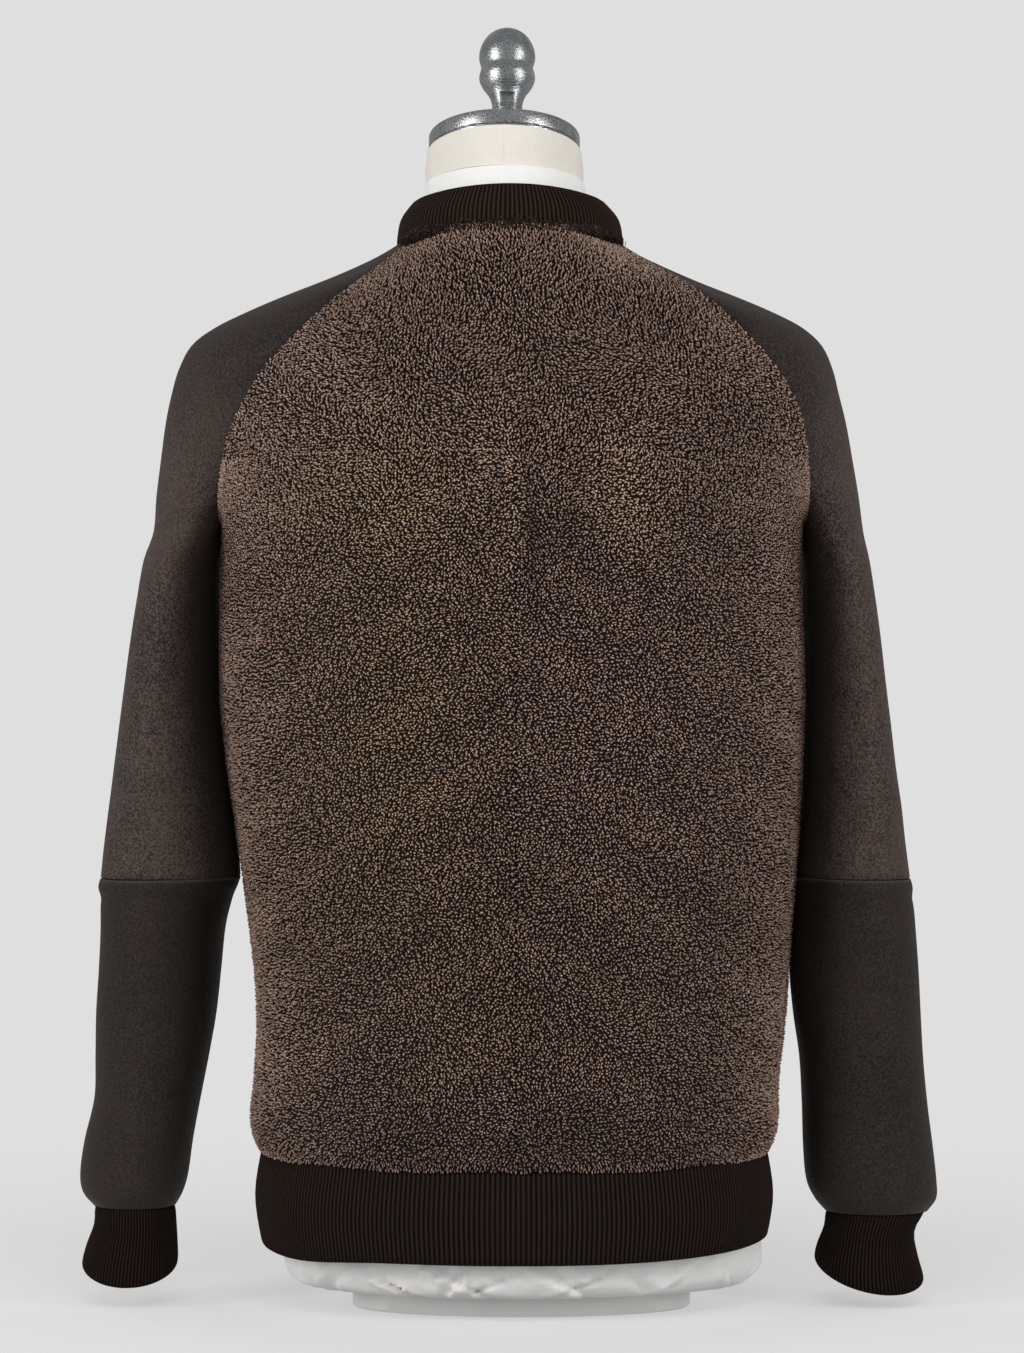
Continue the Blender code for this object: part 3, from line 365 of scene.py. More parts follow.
def leatherFinish():
    # Matt nappa: cell grain with fine pores, cloudy and warm blotches, paler worn seams.
    look = leatherLook
    finish = Finish("sleeveLeather", {
        "Specular IOR Level": 0.22, "Sheen Weight": 0.05, "Sheen Roughness": 0.45,
        "Sheen Tint": tone(190, 170, 150)})
    cloud = finish.noise(9.0, 4.0)
    blotch = finish.noise(55.0, 3.0)
    speck = finish.noise(620.0, 3.0, roughness=0.65)
    grain = finish.cells(look["grainSize"], feature="DISTANCE_TO_EDGE")
    pore = finish.noise(2600.0, 2.0)
    worn = finish.attribute("worn")
    lower = finish.attribute("lower")
    around = finish.attribute("around")
    fleck = finish.clamp(1.0 - finish.cells(520.0) * 2.4)
    share = finish.clamp(cloud * 0.8 + blotch * 0.7 + speck * 4.5 + fleck * 0.6 - 2.62)
    colour = finish.mix(share, look["dark"], look["light"])
    # The outer side is tinted warm as a painted sheen, beside the warm blotches of the cloud.
    outside = (1.0 - around) ** 4.0
    colour = finish.mix(finish.clamp(cloud * 2.6 - 1.3 + outside * 0.7) * 0.6, colour, look["warm"])
    # Painted shade darkens the lower sleeves and the shoulders toward the neck.
    colour = finish.scaled(colour, 1.0 - lower * (1.0 - look["lowerShade"]))
    # Painted shade on the side of the sleeve toward the body.
    colour = finish.scaled(colour, 1.0 - around ** 5.0 * (1.0 - look["innerShade"]))
    colour = finish.mix(finish.clamp(worn) * 0.45, colour, look["worn"])
    roughness = finish.clamp(blotch * 0.22 + speck * 0.2 + 0.42)
    height = finish.clamp(grain * 1.6) + pore * 0.5 + speck * 2.4 + fleck * 0.6 + blotch * 1.5
    return finish.done(colour=colour, roughness=roughness,
                       normal=finish.bump(height, look["grainDepth"], 0.85))


ribLook = {
    # the valleys between the ribs are painted shade
    "valleyShade": tone(2, 1, 1),
    "ridge": tone(50, 40, 34),
    "stitchLength": 2.3,    # millimetres along a rib
}


def ribFinish():
    # Knit: each rib is a row of slanting stitches, told by the UV map in millimetres.
    look = ribLook
    finish = Finish("ribKnit", {"Roughness": 0.9, "Specular IOR Level": 0.08})
    uv = finish.node("ShaderNodeUVMap", {"uv_map": "cloth"}, {}, "UV")
    ridge = finish.attribute("ridge")
    stitches = finish.waves("DIAGONAL", 0.314 * 2.0 / look["stitchLength"], uv, 0.4)
    fluff = finish.noise(1300.0, 2.0)
    # The ridge strength is low in the valleys and on the band's inside, where the colour is painted shade.
    share = finish.clamp(ridge * 0.62 + stitches * ridge * 0.34 + fluff * 0.34 - 0.26)
    colour = finish.mix(share, look["valleyShade"], look["ridge"])
    height = stitches * 0.7 + fluff * 0.5
    return finish.done(colour=colour, normal=finish.bump(height, 0.0003, 0.7))


def weaveFinish(name, dark, light, threads, depth, constants, patches=0.0):
    # Plain weave: two crossed thread waves on the UV map, which is in millimetres.
    finish = Finish(name, constants)
    uv = finish.node("ShaderNodeUVMap", {"uv_map": "cloth"}, {}, "UV")
    across = finish.waves("X", 0.314 * threads, uv, 0.6)
    along = finish.waves("Y", 0.314 * threads, uv, 0.6)
    slub = finish.noise(260.0, 3.0)
    cloud = finish.noise(14.0, 3.0)
    thread = across * along
    share = finish.clamp(thread * 0.6 + slub * 0.5 + cloud * patches - patches * 0.5)
    colour = finish.mix(share, dark, light)
    return finish.done(colour=colour, normal=finish.bump(thread + slub * 0.6, depth, 0.7))


metalLook = {
    "dark": tone(86, 90, 94),
    "light": tone(212, 213, 214),
    "pitSize": 1100.0,
}


def castMetalFinish():
    # Cast and burnished metal: cloudy greys, small pits, and fine turning lines around it.
    look = metalLook
    finish = Finish("castMetal", {"Metallic": 1.0, "Specular IOR Level": 0.5})
    cloud = finish.noise(45.0, 4.0, roughness=0.65)
    pits = finish.noise(look["pitSize"], 3.0, roughness=0.7)
    lines = finish.waves("Z", 320.0, distortion=1.5)
    share = finish.clamp(cloud * 1.1 + pits * 2.2 - 1.15)
    colour = finish.mix(share, look["dark"], look["light"])
    roughness = finish.clamp(pits * 0.30 + 0.10)
    height = pits * 0.7 + lines * 0.35
    return finish.done(colour=colour, roughness=roughness, normal=finish.bump(height, 0.0003, 0.6))


def zipMetalFinish():
    # Antique metal, darker and rubbed brighter at random.
    finish = Finish("zipMetal", {"Metallic": 1.0})
    rub = finish.noise(240.0, 3.0)
    colour = finish.mix(rub, tone(64, 56, 46), tone(150, 136, 116))
    return finish.done(colour=colour, roughness=finish.clamp(rub * 0.4 + 0.2),
                       normal=finish.bump(rub, 0.0002, 0.4))


def paintFinish():
    # Satin paint with a light orange-peel surface.
    finish = Finish("basePaint", {"Coat Weight": 0.2, "Coat Roughness": 0.3})
    peel = finish.noise(500.0, 2.0)
    cloud = finish.noise(20.0, 3.0)
    colour = finish.mix(cloud, tone(206, 206, 205), tone(216, 216, 215))
    return finish.done(colour=colour, roughness=finish.clamp(peel * 0.2 + 0.38),
                       normal=finish.bump(peel, 0.0002, 0.4))


finishes = {
    "shearling": shearlingFinish("shearlingCurls", False),
    "mat": shearlingFinish("shearlingMat", True),
    "leather": leatherFinish(),
    "rib": ribFinish(),
    "cream": weaveFinish("creamLinen", tone(222, 216, 204), tone(244, 240, 231), 2.0, 0.00025,
                         {"Roughness": 0.85, "Specular IOR Level": 0.2}, 0.5),
    "white": weaveFinish("whiteCotton", tone(232, 231, 230), tone(246, 246, 245), 3.0, 0.00012,
                         {"Roughness": 0.85, "Specular IOR Level": 0.2}, 0.2),
    "tape": weaveFinish("zipTape", tone(16, 13, 11), tone(38, 32, 28), 1.6, 0.0003,
                        {"Roughness": 0.85, "Specular IOR Level": 0.25}),
    "castMetal": castMetalFinish(),
    "zipMetal": zipMetalFinish(),
    "paint": paintFinish(),
}
print("materials made:", len(finishes))


# Shape of the jacket's body

bodyRows = columns(
    "z backDrop frontRise left right back front", [
        (112, 4, 2, 170.0, 176.0, 113.0, 110.0),
        (122, 3, 1, 174.5, 180.5, 117.5, 112.6),
        (134, 2, 1, 176.0, 182.0, 120.0, 113.8),
        (160, 1, 0, 173.5, 182.5, 120.0, 113.0),
        (200, 0, 0, 171.5, 187.0, 120.0, 112.0),
        (242, 0, 0, 174.0, 190.0, 121.5, 112.0),
        (298, 0, 0, 181.0, 194.0, 124.0, 112.5),
        (340, 0, 0, 187.0, 197.0, 126.0, 113.5),
        (382, 0, 0, 193.0, 199.0, 128.0, 115.0),
        (424, 0, 0, 197.0, 200.5, 130.0, 116.5),
        (462, 0, 0, 200.0, 202.0, 132.0, 117.5),
        (500, 0, 0, 203.0, 204.0, 134.0, 118.0),
        (522, 0, 0, 203.0, 204.5, 135.0, 118.0)])
hemRows = columns(
    "z backDrop frontRise left right back front", [
        (111.6, 4, 2, 173.0, 179.0, 115.5, 110.5),
        (80.0, 7, 3, 177.6, 183.4, 119.8, 114.3),
        (52.0, 8.5, 6, 174.0, 180.0, 117.0, 111.5)])
middleLine = columns(
    "x backY backZ backAngle frontY frontZ frontAngle squareness", [
        (4.0, -135.0, 542, 90.0, 118.0, 542, 90, 1.15),
        (4.0, -135.5, 551, 80.0, 118.0, 549, 82, 1.15),
        (4.0, -136.0, 570, 74.0, 118.0, 561, 76, 1.15),
        (4.0, -136.0, 593, 70.0, 117.5, 576, 72, 1.12),
        (4.0, -135.0, 610, 66.0, 116.5, 591, 68, 1.10),
        (3.5, -133.0, 627, 63.0, 115.0, 605, 65, 1.08),
        (3.0, -130.0, 644, 60.0, 112.5, 618, 62, 1.06),
        (2.5, -126.0, 661, 58.0, 109.0, 631, 59, 1.04),
        (2.0, -121.0, 678, 56.0, 105.0, 643, 56, 1.02),
        (1.5, -115.0, 695, 55.0, 99.0, 655, 53, 1.00),
        (1.0, -106.0, 713, 55.0, 91.0, 667, 50, 1.00),
        (0.5, -94.0, 730, 55.0, 80.0, 679, 48, 1.00),
        (0.0, -75.0, 745, 55.6, 65.0, 690, 47, 1.00)])
raglanSeams = {
    "back": columns("left right y z", [
        (201.0, 204.0, 5.0, 542),
        (202.0, 206.0, -28.0, 551),
        (199.5, 205.0, -52.0, 567),
        (194.0, 201.0, -70.0, 588),
        (187.0, 197.5, -82.0, 608),
        (179.0, 192.0, -89.5, 626),
        (169.0, 183.0, -94.5, 643),
        (156.0, 171.5, -97.0, 659),
        (141.0, 156.5, -97.0, 675),
        (124.0, 140.0, -93.5, 691),
        (105.5, 120.0, -85.0, 706.5),
        (85.5, 94.5, -68.5, 722.5),
        (66.0, 66.0, -44.6, 741.6)]),
    "front": columns("left right y z", [
        (201.0, 204.0, 5.0, 542),
        (200.5, 204.0, 36.0, 551),
        (196.0, 201.0, 56.0, 566),
        (189.0, 195.0, 71.0, 585),
        (180.0, 187.0, 81.0, 604),
        (169.0, 177.0, 87.0, 621),
        (156.0, 164.0, 90.0, 637),
        (141.5, 149.0, 91.0, 653),
        (126.0, 132.0, 89.5, 669),
        (109.5, 114.0, 84.0, 685),
        (92.5, 95.0, 75.0, 700),
        (75.5, 76.5, 61.0, 714.5),
        (58.5, 58.5, 42.7, 728.6)]),
}
bodyShape = {
    "middleX": 4.0,         # centre-back seam and zip
    "sideY": 5.0,
    "squareness": 1.15,
    "collarSideY": -5.0,
    "zipHalfOpening": 7.0,
    "yokeRow": 3,
    "steps": 4,             # finer rows in each span of the tables
    "easedRows": 12.0,
    "easings": 80,
    "columns": 34,
    "skin": 2.5,
    "pile": 6.8,
    "flatPile": 0.6,
    "pileFade": (25.0, 125.0),
    "clip": 0.72,
    "clipWidth": 20.0,
    "seamGap": 0.35,
}
bodyMiddle = np.array([bodyShape["middleX"], 0.0, 400.0])
lowCount = len(bodyRows["z"])
sideNames = {-1: "left", 1: "right"}


def arcRows(middle, edge, angle, squareness, shares):
    # Rows of part of a half ellipse: across goes as the angle's sine, and depth as one less its
    # cosine, raised to the squareness.
    full = np.radians(angle)[:, None]
    part = full * shares
    across = np.sin(part) / np.sin(full)
    depth = ((1.0 - np.cos(part)) / (1.0 - np.cos(full))) ** np.reshape(squareness, (-1, 1))
    share = np.stack([across, depth, depth], axis=2)
    return middle[:, None] + (edge - middle)[:, None] * share


def neckLine(row, side, angles):
    # Ring around the neck at given degrees from the centre back: an ellipse whose height goes
    # from back to side as a squared cosine and from side to front as a square.
    turn = np.radians(angles)
    reach = np.where(angles <= 90.0, row["back"], row["front"])
    width = np.where(side < 0, row["left"], row["right"])
    back = (row["zBack"] - row["zSide"]) * np.cos(turn) ** 2
    front = (row["zFront"] - row["zSide"]) * ((angles - 90.0) / 90.0) ** 2
    return np.stack([side * width * np.sin(turn),
                     bodyShape["collarSideY"] - reach * np.cos(turn),
                     row["zSide"] + np.where(angles <= 90.0, back, front)], axis=-1)


neckRow = {"left": 80.0, "right": 80.0, "back": 70.0, "front": 70.0,
           "zSide": 740.0, "zBack": 745.0, "zFront": 690.0}


def lowLines(rows, face, side, shares):
    # Rows of the body or hem below the underarm, on one side.
    sign = -1.0 if face == "back" else 1.0
    shift = -rows["backDrop"] if face == "back" else rows["frontRise"]
    size = len(rows["z"])
    middle = np.stack([np.full(size, bodyShape["middleX"]), sign * rows[face], rows["z"] + shift], 1)
    edge = np.stack([side * rows[sideNames[side]], np.full(size, bodyShape["sideY"]), rows["z"]], 1)
    return arcRows(middle, edge, np.full(size, 90.0), bodyShape["squareness"], shares)


def highLines(face, side, shares):
    # Rows between the raglan seams, from the underarm to the neck.
    seam = raglanSeams[face]
    middle = np.stack([middleLine["x"], middleLine[face + "Y"], middleLine[face + "Z"]], 1)
    edge = np.stack([side * seam[sideNames[side]], seam["y"], seam["z"]], 1)
    shares = np.broadcast_to(shares, (len(middle), np.shape(shares)[-1]))
    points = arcRows(middle, edge, middleLine[face + "Angle"], middleLine["squareness"], shares)
    angle = middleLine[face + "Angle"][-1] * shares[-1]
    points[-1] = neckLine(neckRow, side, angle if face == "back" else 180.0 - angle)
    return points


def zipShares(side, offset, rows=None):
    # Share of each front row that lies that far from the zip.
    if rows is None:
        angle = np.radians(middleLine["frontAngle"])
        reach = raglanSeams["front"][sideNames[side]] - side * middleLine["x"]
    else:
        angle = math.pi / 2.0
        reach = rows[sideNames[side]] - side * bodyShape["middleX"]
    return np.arcsin(offset / reach * np.sin(angle)) / angle


def bodyGrid(face, side, cols):
    # Whole face of one side from the hem seam to the neck; a front starts at the zip's edge.
    spread = np.linspace(0.0, 1.0, cols)
    low = high = spread
    if face == "front":
        lowStart = zipShares(side, bodyShape["zipHalfOpening"], bodyRows)[:, None]
        highStart = zipShares(side, bodyShape["zipHalfOpening"])[:, None]
        low = lowStart + (1.0 - lowStart) * spread
        high = highStart + (1.0 - highStart) * spread
    points = np.concatenate([lowLines(bodyRows, face, side, low), highLines(face, side, high)])
    grid = smoothRows(points, bodyShape["steps"])
    # The rows near the underarm's level are eased into each other, away from the zip and the seams.
    weight = bell(np.arange(len(grid)) - lowCount * bodyShape["steps"], bodyShape["easedRows"])[:, None] \
        * (1.0 - smoothstep(0.88, 1.0, spread))
    if face == "front":
        weight = weight * smoothstep(0.0, 0.12, spread)
    for _ in range(bodyShape["easings"]):
        grid[1:-1] += 0.5 * weight[1:-1, :, None] * ((grid[:-2] + grid[2:]) / 2.0 - grid[1:-1])
    return grid


def pileHeight(points, underarm):
    # The pile rises from flat beside the underarm to its full height, and is clipped short beside
    # the raglan seams where they near the neck.
    distance = np.linalg.norm(points - underarm, axis=-1)
    full = bodyShape["pile"] - bodyShape["flatPile"]
    x, y, z = points[..., 0], points[..., 1], points[..., 2]
    seamX = np.zeros_like(x)
    for face, turned in (("back", y < 0), ("front", y >= 0)):
        for side, name in sideNames.items():
            seam = raglanSeams[face]
            here = turned & (np.sign(x) == side)
            seamX = np.where(here, np.interp(z, seam["z"], seam[name]), seamX)
    clipped = smoothstep(bodyShape["clipWidth"], 1.0, (seamX - np.abs(x)) * 0.6) * smoothstep(590, 700, z)
    return bodyShape["flatPile"] + full * smoothstep(*bodyShape["pileFade"], distance) \
        * (1.0 - bodyShape["clip"] * clipped)


# Curls: each is a small bean that lies on the pile along a smooth random way.

curlShape = {
    "pitch": {"back": 2.35, "front": 3.4},
    "shake": 0.36,          # share of the pitch that a curl may lie off its row and place
    "length": (1.2, 2.1),   # half of a curl, least and most
    "width": (0.85, 1.2),
    "coarse": 0.35,         # how much longer the curls are between the shoulders
    "bend": 0.45,
    "wander": 0.6,          # radians that a curl's way may differ from its neighbours'
    "matHeight": 0.66,      # share of the pile's height that the mat fills
    "seamWidth": 3.6,
    "middleSeam": {"back": 0.10, "front": 0.3},    # how much lower the pile is at a seam
    "yokeSeam": 0.06,
    "combed": {"front": 0.5, "yoke": 0.7},         # how far the curls lie downhill near the neck
}
patches = columns(
    # where the pile lies lighter or darker on the back, and how olive it is there; some of the darker ones
    # are painted shade
    "x z wide high light olive", [
        (77, 560, 26, 36, 1.15, 0.7),
        (40, 540, 24, 26, -0.75, 0.0),
        (-80, 400, 62, 110, 0.30, 0.9),
        (-88, 560, 70, 50, 0.35, 0.7),
        (80, 400, 60, 120, 0.22, 0.0),
        (-20, 230, 40, 60, 0.30, 0.5),
        (-140, 300, 30, 90, -0.25, 0.2),
        (150, 300, 30, 110, -0.25, 0.0),
        (0, 690, 150, 75, -0.50, 0.1),
        (140, 590, 50, 80, -0.30, 0.0),
        # painted shadow in the groove beside the centre-back seam
        (14.5, 535, 5, 60, -0.95, 0.0),
        (1.5, 540, 4.5, 80, 0.55, 0.2),
        # painted shade, darker toward the bottom of the back
        (0, 250, 170, 90, -0.30, 0.2),
        # painted shade at the sides, between the arms and the body
        (-186, 300, 16, 170, -0.55, 0.0),
        (196, 300, 16, 170, -0.55, 0.0),
        (-100, 690, 34, 40, -0.35, 0.0),
        (100, 690, 34, 40, -0.35, 0.0),
        # painted shade along the hem edge
        (0, 125, 190, 30, -0.60, 0.0)])


def patchAt(points):
    # Sum of soft elliptical patches plus a slow ripple, so that the coat isn't even; some patches are
    # painted shade.
    x, z = points[..., 0], points[..., 2]
    light = 0.12 * np.sin(x / 23.0 + 2.0 * np.sin(z / 41.0)) * np.sin(z / 29.0 + x / 61.0)
    olive = np.full_like(x, 0.15)
    behind = smoothstep(20.0, -20.0, points[..., 1])
    for index in range(len(patches["x"])):
        spot = bell(x - patches["x"][index], patches["wide"][index]) \
            * bell(z - patches["z"][index], patches["high"][index]) * behind
        light = light + patches["light"][index] * spot
        olive = olive + patches["olive"][index] * spot
    return light, np.clip(olive, 0.0, 1.0)


def sampled(grid, row, col):
    # Values between a grid's points, from the four around each place.
    top = np.clip(row.astype(int), 0, grid.shape[0] - 2)
    left = np.clip(col.astype(int), 0, grid.shape[1] - 2)
    down = (row - top)[:, None]
    right = (col - left)[:, None]
    return ((grid[top, left] * (1 - right) + grid[top, left + 1] * right) * (1 - down)
            + (grid[top + 1, left] * (1 - right) + grid[top + 1, left + 1] * right) * down)


def scatter(grid, pitch):
    # Staggered rows of places a pitch apart, at equal distances up every column, and shaken.
    heights = runAlong(grid)
    gaps = np.diff(heights, axis=0)
    lines = np.arange(pitch * 0.3, heights[-1].max(), pitch * 0.87)
    last = len(grid) - 1.0
    every = np.arange(len(grid), dtype=float)
    cols = np.arange(grid.shape[1], dtype=float)
    # Past a column's end the level goes on rising, so that a row crosses the border where it should.
    levels = np.stack([np.interp(lines, heights[:, col], every)
                       + np.maximum(lines - heights[-1, col], 0.0) / gaps[-1, col]
                       for col in range(grid.shape[1])], axis=1)
    shake = curlShape["shake"]
    places = []
    for index, line in enumerate(levels):
        row = sampled(grid, np.clip(line, 0.0, last), cols)
        run = runAlong(row)
        count = max(int(run[-1] / pitch), 1)
        spots = np.arange(count) + 0.25 + 0.5 * (index % 2) + rng.uniform(-shake, shake, count)
        col = np.interp(spots * run[-1] / count, run, cols)
        level = np.interp(col, cols, line)
        step = gaps[np.clip(level, 0, len(gaps) - 1).astype(int), col.astype(int)]
        level += (rng.uniform(-shake, shake, count) + 0.5 * np.sin(spots / 7.0 + index / 5.0)) * pitch / step
        # A curl that is shaken a little past a border is drawn back to it, so that none is missing.
        slack = 0.45 * pitch / step
        keep = (level > -slack) & (level < last + slack)
        places.append(np.stack([np.clip(level, 0.02, last - 0.02)[keep], col[keep]], axis=1))
    return np.concatenate(places)


def curlMesh(base, out, way, height, half, width, bend, curve):
    # A small bean: a ring of two ends and two sides low in the pile, and a crest above it. The ends
    # swing to one side for a bow, and the crest leans a little the other way.
    side = np.cross(out, way)
    low = out * (height * 0.62)[:, None]
    bow = side * curve[:, None]
    points = np.stack([
        base + low - way * half[:, None] - bow,
        base + low + way * half[:, None] - bow,
        base + low - side * width[:, None],
        base + low + side * width[:, None],
        base + out * height[:, None] + side * bend[:, None]], axis=1)
    faces = [(1, 3, 4), (3, 0, 4), (0, 2, 4), (2, 1, 4), (1, 2, 0), (1, 0, 3)]
    corners = np.arange(len(base))[:, None, None] * 5 + np.array(faces)
    # tip sets the painted shade low on each bean and the painted highlight on its crest
    tip = np.array([0.24, 0.24, 0.12, 0.12, 1.0])
    return points.reshape(-1, 3), corners.reshape(-1, 3), np.tile(tip, len(base))


def addCurls(name, grid, underarm, pitch, seams, hanging=False, comb=0.0):
    # Curls over a whole panel, lower beside its seams, and a hanging row over the hem.
    normals = gridNormals(grid, bodyMiddle)
    place = scatter(grid, pitch)
    base = sampled(grid, place[:, 0], place[:, 1])
    out = unit(sampled(normals, place[:, 0], place[:, 1]))
    down = unit(sampled(np.gradient(grid, axis=0), place[:, 0], place[:, 1]))
    level = unit(np.cross(out, down))
    x, z = base[:, 0], base[:, 2]
    turn = (1.4 + 1.2 * np.sin(x / 19.0 + 1.9 * np.sin(z / 33.0))
            + 1.1 * np.sin(z / 23.0 + x / 41.0 + 1.3 * np.sin(x / 29.0))
            + rng.normal(0.0, curlShape["wander"], len(base)))
    combed = comb * smoothstep(600.0, 720.0, z)
    turn = turn * (1.0 - combed) + combed * math.pi / 2.0
    way = level * np.cos(turn)[:, None] + down * np.sin(turn)[:, None]
    height = pileHeight(base, underarm) * rng.uniform(0.84, 1.04, len(base))
    for axis, value, depth in seams:
        # The centre-back seam fades out below the waist.
        fade = smoothstep(350.0, 450.0, z) if axis == 0 else 1.0
        height = height * (1.0 - depth * fade * bell(base[:, axis] - value, curlShape["seamWidth"]))
    size = rng.uniform(0.0, 1.0, len(base))
    flat = np.clip(height / bodyShape["pile"], 0.3, 1.0)
    half = np.interp(size, (0, 1), curlShape["length"]) * (0.7 + 0.3 * flat) * pitch / 2.15 \
        * (1.0 + curlShape["coarse"] * smoothstep(480.0, 640.0, z))
    width = np.interp(rng.uniform(0, 1, len(base)), (0, 1), curlShape["width"]) * pitch / 2.15
    bend = rng.normal(0.0, curlShape["bend"] * 0.6, len(base)) * flat
    curve = rng.normal(0.0, curlShape["bend"], len(base)) * flat
    if hanging:
        # The lowest curls swing down over the hem band.
        low = smoothstep(9.0, 1.0, np.abs(z - grid[0, :, 2].mean()))
        way = unit(way * (1.0 - low)[:, None] + np.array([0.0, 0.0, -1.0]) * low[:, None] * 1.4)
        half = half * (1.0 + 0.35 * low)
    points, faces, tip = curlMesh(base, out, way, height, half, width, bend, curve)
    light, olive = patchAt(base)
    each = np.ones(5)
    values = {"tip": tip, "shade": np.repeat(rng.uniform(0.0, 1.0, len(base)), 5),
              "patch": np.kron(light, each), "olive": np.kron(olive, each)}
    print(name, "curls:", len(base))
    return addPiece(name, points, [faces], finishes["shearling"], values=values)


def drawnBack(grid, edges, distance):
    # Pulls a grid's border rows or columns back from their seams.
    grid = grid.copy()
    for edge in edges:
        if edge == "bottom":
            grid[0] += unit(grid[1] - grid[0]) * distance
        elif edge == "top":
            grid[-1] += unit(grid[-2] - grid[-1]) * distance
        elif edge == "start":
            grid[:, 0] += unit(grid[:, 1] - grid[:, 0]) * distance
        else:
            grid[:, -1] += unit(grid[:, -2] - grid[:, -1]) * distance
    return grid


def addSkin(name, node, grid, underarm):
    # The hide and the mat of short tufts under the curls.
    normals = gridNormals(grid, bodyMiddle)
    mat = pileHeight(grid, underarm) * curlShape["matHeight"]
    edges = ("bottom", "top", "start", "end")
    outer = drawnBack(grid + normals * mat[..., None], edges, bodyShape["seamGap"])
    inner = drawnBack(grid - normals * bodyShape["skin"], edges, bodyShape["seamGap"])
    points, faces = shell(outer, inner, 0.3)
    light, olive = patchAt(points)
    piece = addPiece(name, points, faces, finishes["mat"], (node,),
                     values={"patch": light, "olive": olive})


def makeBody():
    steps = bodyShape["steps"]
    yokeStart = (lowCount + bodyShape["yokeRow"]) * steps
    halves = {}
    for side in (-1, 1):
        name = sideNames[side].capitalize()
        grid = bodyGrid("back", side, bodyShape["columns"])
        underarm = grid[lowCount * steps, -1]
        halves[side] = (grid, underarm)
        panel = grid[:yokeStart + 1]
        yokeLine = panel[-1, :, 2].mean()
        curls = addCurls("curlsBack" + name, panel, underarm, curlShape["pitch"]["back"],
                         [(0, bodyShape["middleX"], curlShape["middleSeam"]["back"]),
                          (2, yokeLine, curlShape["yokeSeam"])], True)
        addSkin("skinBack" + name, "back_" + name.lower(), panel, underarm)
        grid = bodyGrid("front", side, bodyShape["columns"])
        curls = addCurls("curlsFront" + name, grid, underarm, curlShape["pitch"]["front"],
                         [(0, bodyShape["middleX"], curlShape["middleSeam"]["front"])], True,
                         curlShape["combed"]["front"])
        addSkin("skinFront" + name, "front_" + name.lower(), grid, underarm)
    whole = np.concatenate([halves[-1][0][yokeStart:, ::-1], halves[1][0][yokeStart:, 1:]], axis=1)
    curls = addCurls("curlsYoke", whole, halves[-1][1], curlShape["pitch"]["back"],
                     [(2, whole[0, :, 2].mean(), curlShape["yokeSeam"])], False, curlShape["combed"]["yoke"])
    addSkin("skinYoke", "back_yoke", whole, halves[-1][1])
    return whole


yokeGrid = makeBody()
print("shearling body made")


# Leather sleeves

upperSleeve = columns(
    "z leftOut leftIn rightOut rightIn back front skew", [
        (300, 285.4, 189.6, 278.6, 200.0, -52, 58, 11),
        (325, 282.5, 191.4, 275.0, 202.4, -54, 62, 12),
        (353, 278.7, 194.4, 271.6, 204.0, -56, 67, 12),
        (381, 275.2, 198.4, 267.7, 205.0, -58, 71, 12),
        (409, 271.5, 201.6, 264.4, 205.8, -59, 75, 12),
        (437, 267.7, 202.6, 260.7, 206.0, -60, 78, 12),
        (465, 263.6, 203.0, 257.2, 205.6, -60, 80, 12),
        (493, 259.6, 203.6, 253.9, 205.4, -58, 80, 9),
        (521, 255.9, 203.8, 250.9, 206.0, -54, 77, 4)])
ridgeLine = columns(
    "left right y z backDepth frontDepth roundness leftSink rightSink", [
        (250.5, 248.2, 18, 542, 55, 66, 0.00, 0, 0),
        (248.6, 245.0, 17, 566, 30, 40, 0.20, 0, 0),
        (245.2, 240.4, 16, 592, 15, 24, 0.45, 0, 0),
        (241.4, 235.2, 14, 618, 6, 12, 0.70, 0, 0),
        (236.6, 229.2, 11, 638, 2, 5, 0.90, 0, 1),
        (231.0, 224.0, 8, 655, 0, 1, 1.00, 1, 2),
        (221.5, 216.0, 5, 672, 0, 0, 1.00, 3, 4),
        (205.0, 202.0, 3, 684.5, 0, 0, 1.00, 4.5, 4.5),
        (183.0, 182.0, 1, 695, 0, 0, 1.00, 4.4, 5.4),
        (158.0, 158.0, -1, 705.5, 0, 0, 1.00, 4.4, 6.8),
        (131.5, 131.5, -3, 716, 0, 0, 1.00, 5.2, 8.0),
        (106.0, 106.0, -4, 727, 0, 0, 1.00, 6.6, 9.5),
        (80.0, 80.0, -5, 740, 0, 0, 1.00, 0, 0)])
lowerSleeve = columns(
    "z leftOut leftIn rightOut rightIn back front skew", [
        (299.6, 285.6, 189.4, 278.9, 199.8, -52.4, 58.4, 11),
        (293, 287.0, 191.8, 280.6, 199.0, -53.0, 59.0, 11),
        (284, 285.7, 195.4, 281.1, 198.4, -51.5, 57.5, 11),
        (264, 285.4, 200.2, 282.8, 197.6, -50, 56, 11),
        (236, 286.8, 203.0, 285.1, 196.4, -48, 54, 10),
        (206, 289.0, 206.0, 286.9, 198.8, -46, 52, 7),
        (176, 289.8, 211.0, 288.9, 203.0, -44, 51, 4),
        (146, 290.8, 216.8, 292.0, 204.6, -42, 50, 2),
        (116, 298.0, 222.2, 296.1, 205.4, -40, 49, 0),
        (92, 301.2, 225.6, 298.8, 207.6, -38, 48, 0),
        (79, 299.0, 229.4, 298.8, 213.4, -35, 45, 0),
        (70, 291.4, 234.4, 292.6, 221.0, -29, 39, 0)])
cuffRows = columns(
    "z leftOut leftIn rightOut rightIn back front slope skew rightTilt", [
        (69.5, 290.0, 235.6, 289.8, 222.2, -28.0, 37.5, 0.00, 0, 0.0),
        (57.0, 290.6, 234.8, 282.4, 221.0, -28.5, 38.5, 0.12, 0, 1.0),
        (42.0, 296.0, 234.0, 285.0, 216.5, -29.0, 39.5, 0.30, 0, 3.5),
        (30.0, 299.4, 233.5, 289.4, 214.0, -28.0, 38.0, 0.42, 0, 6.5)])
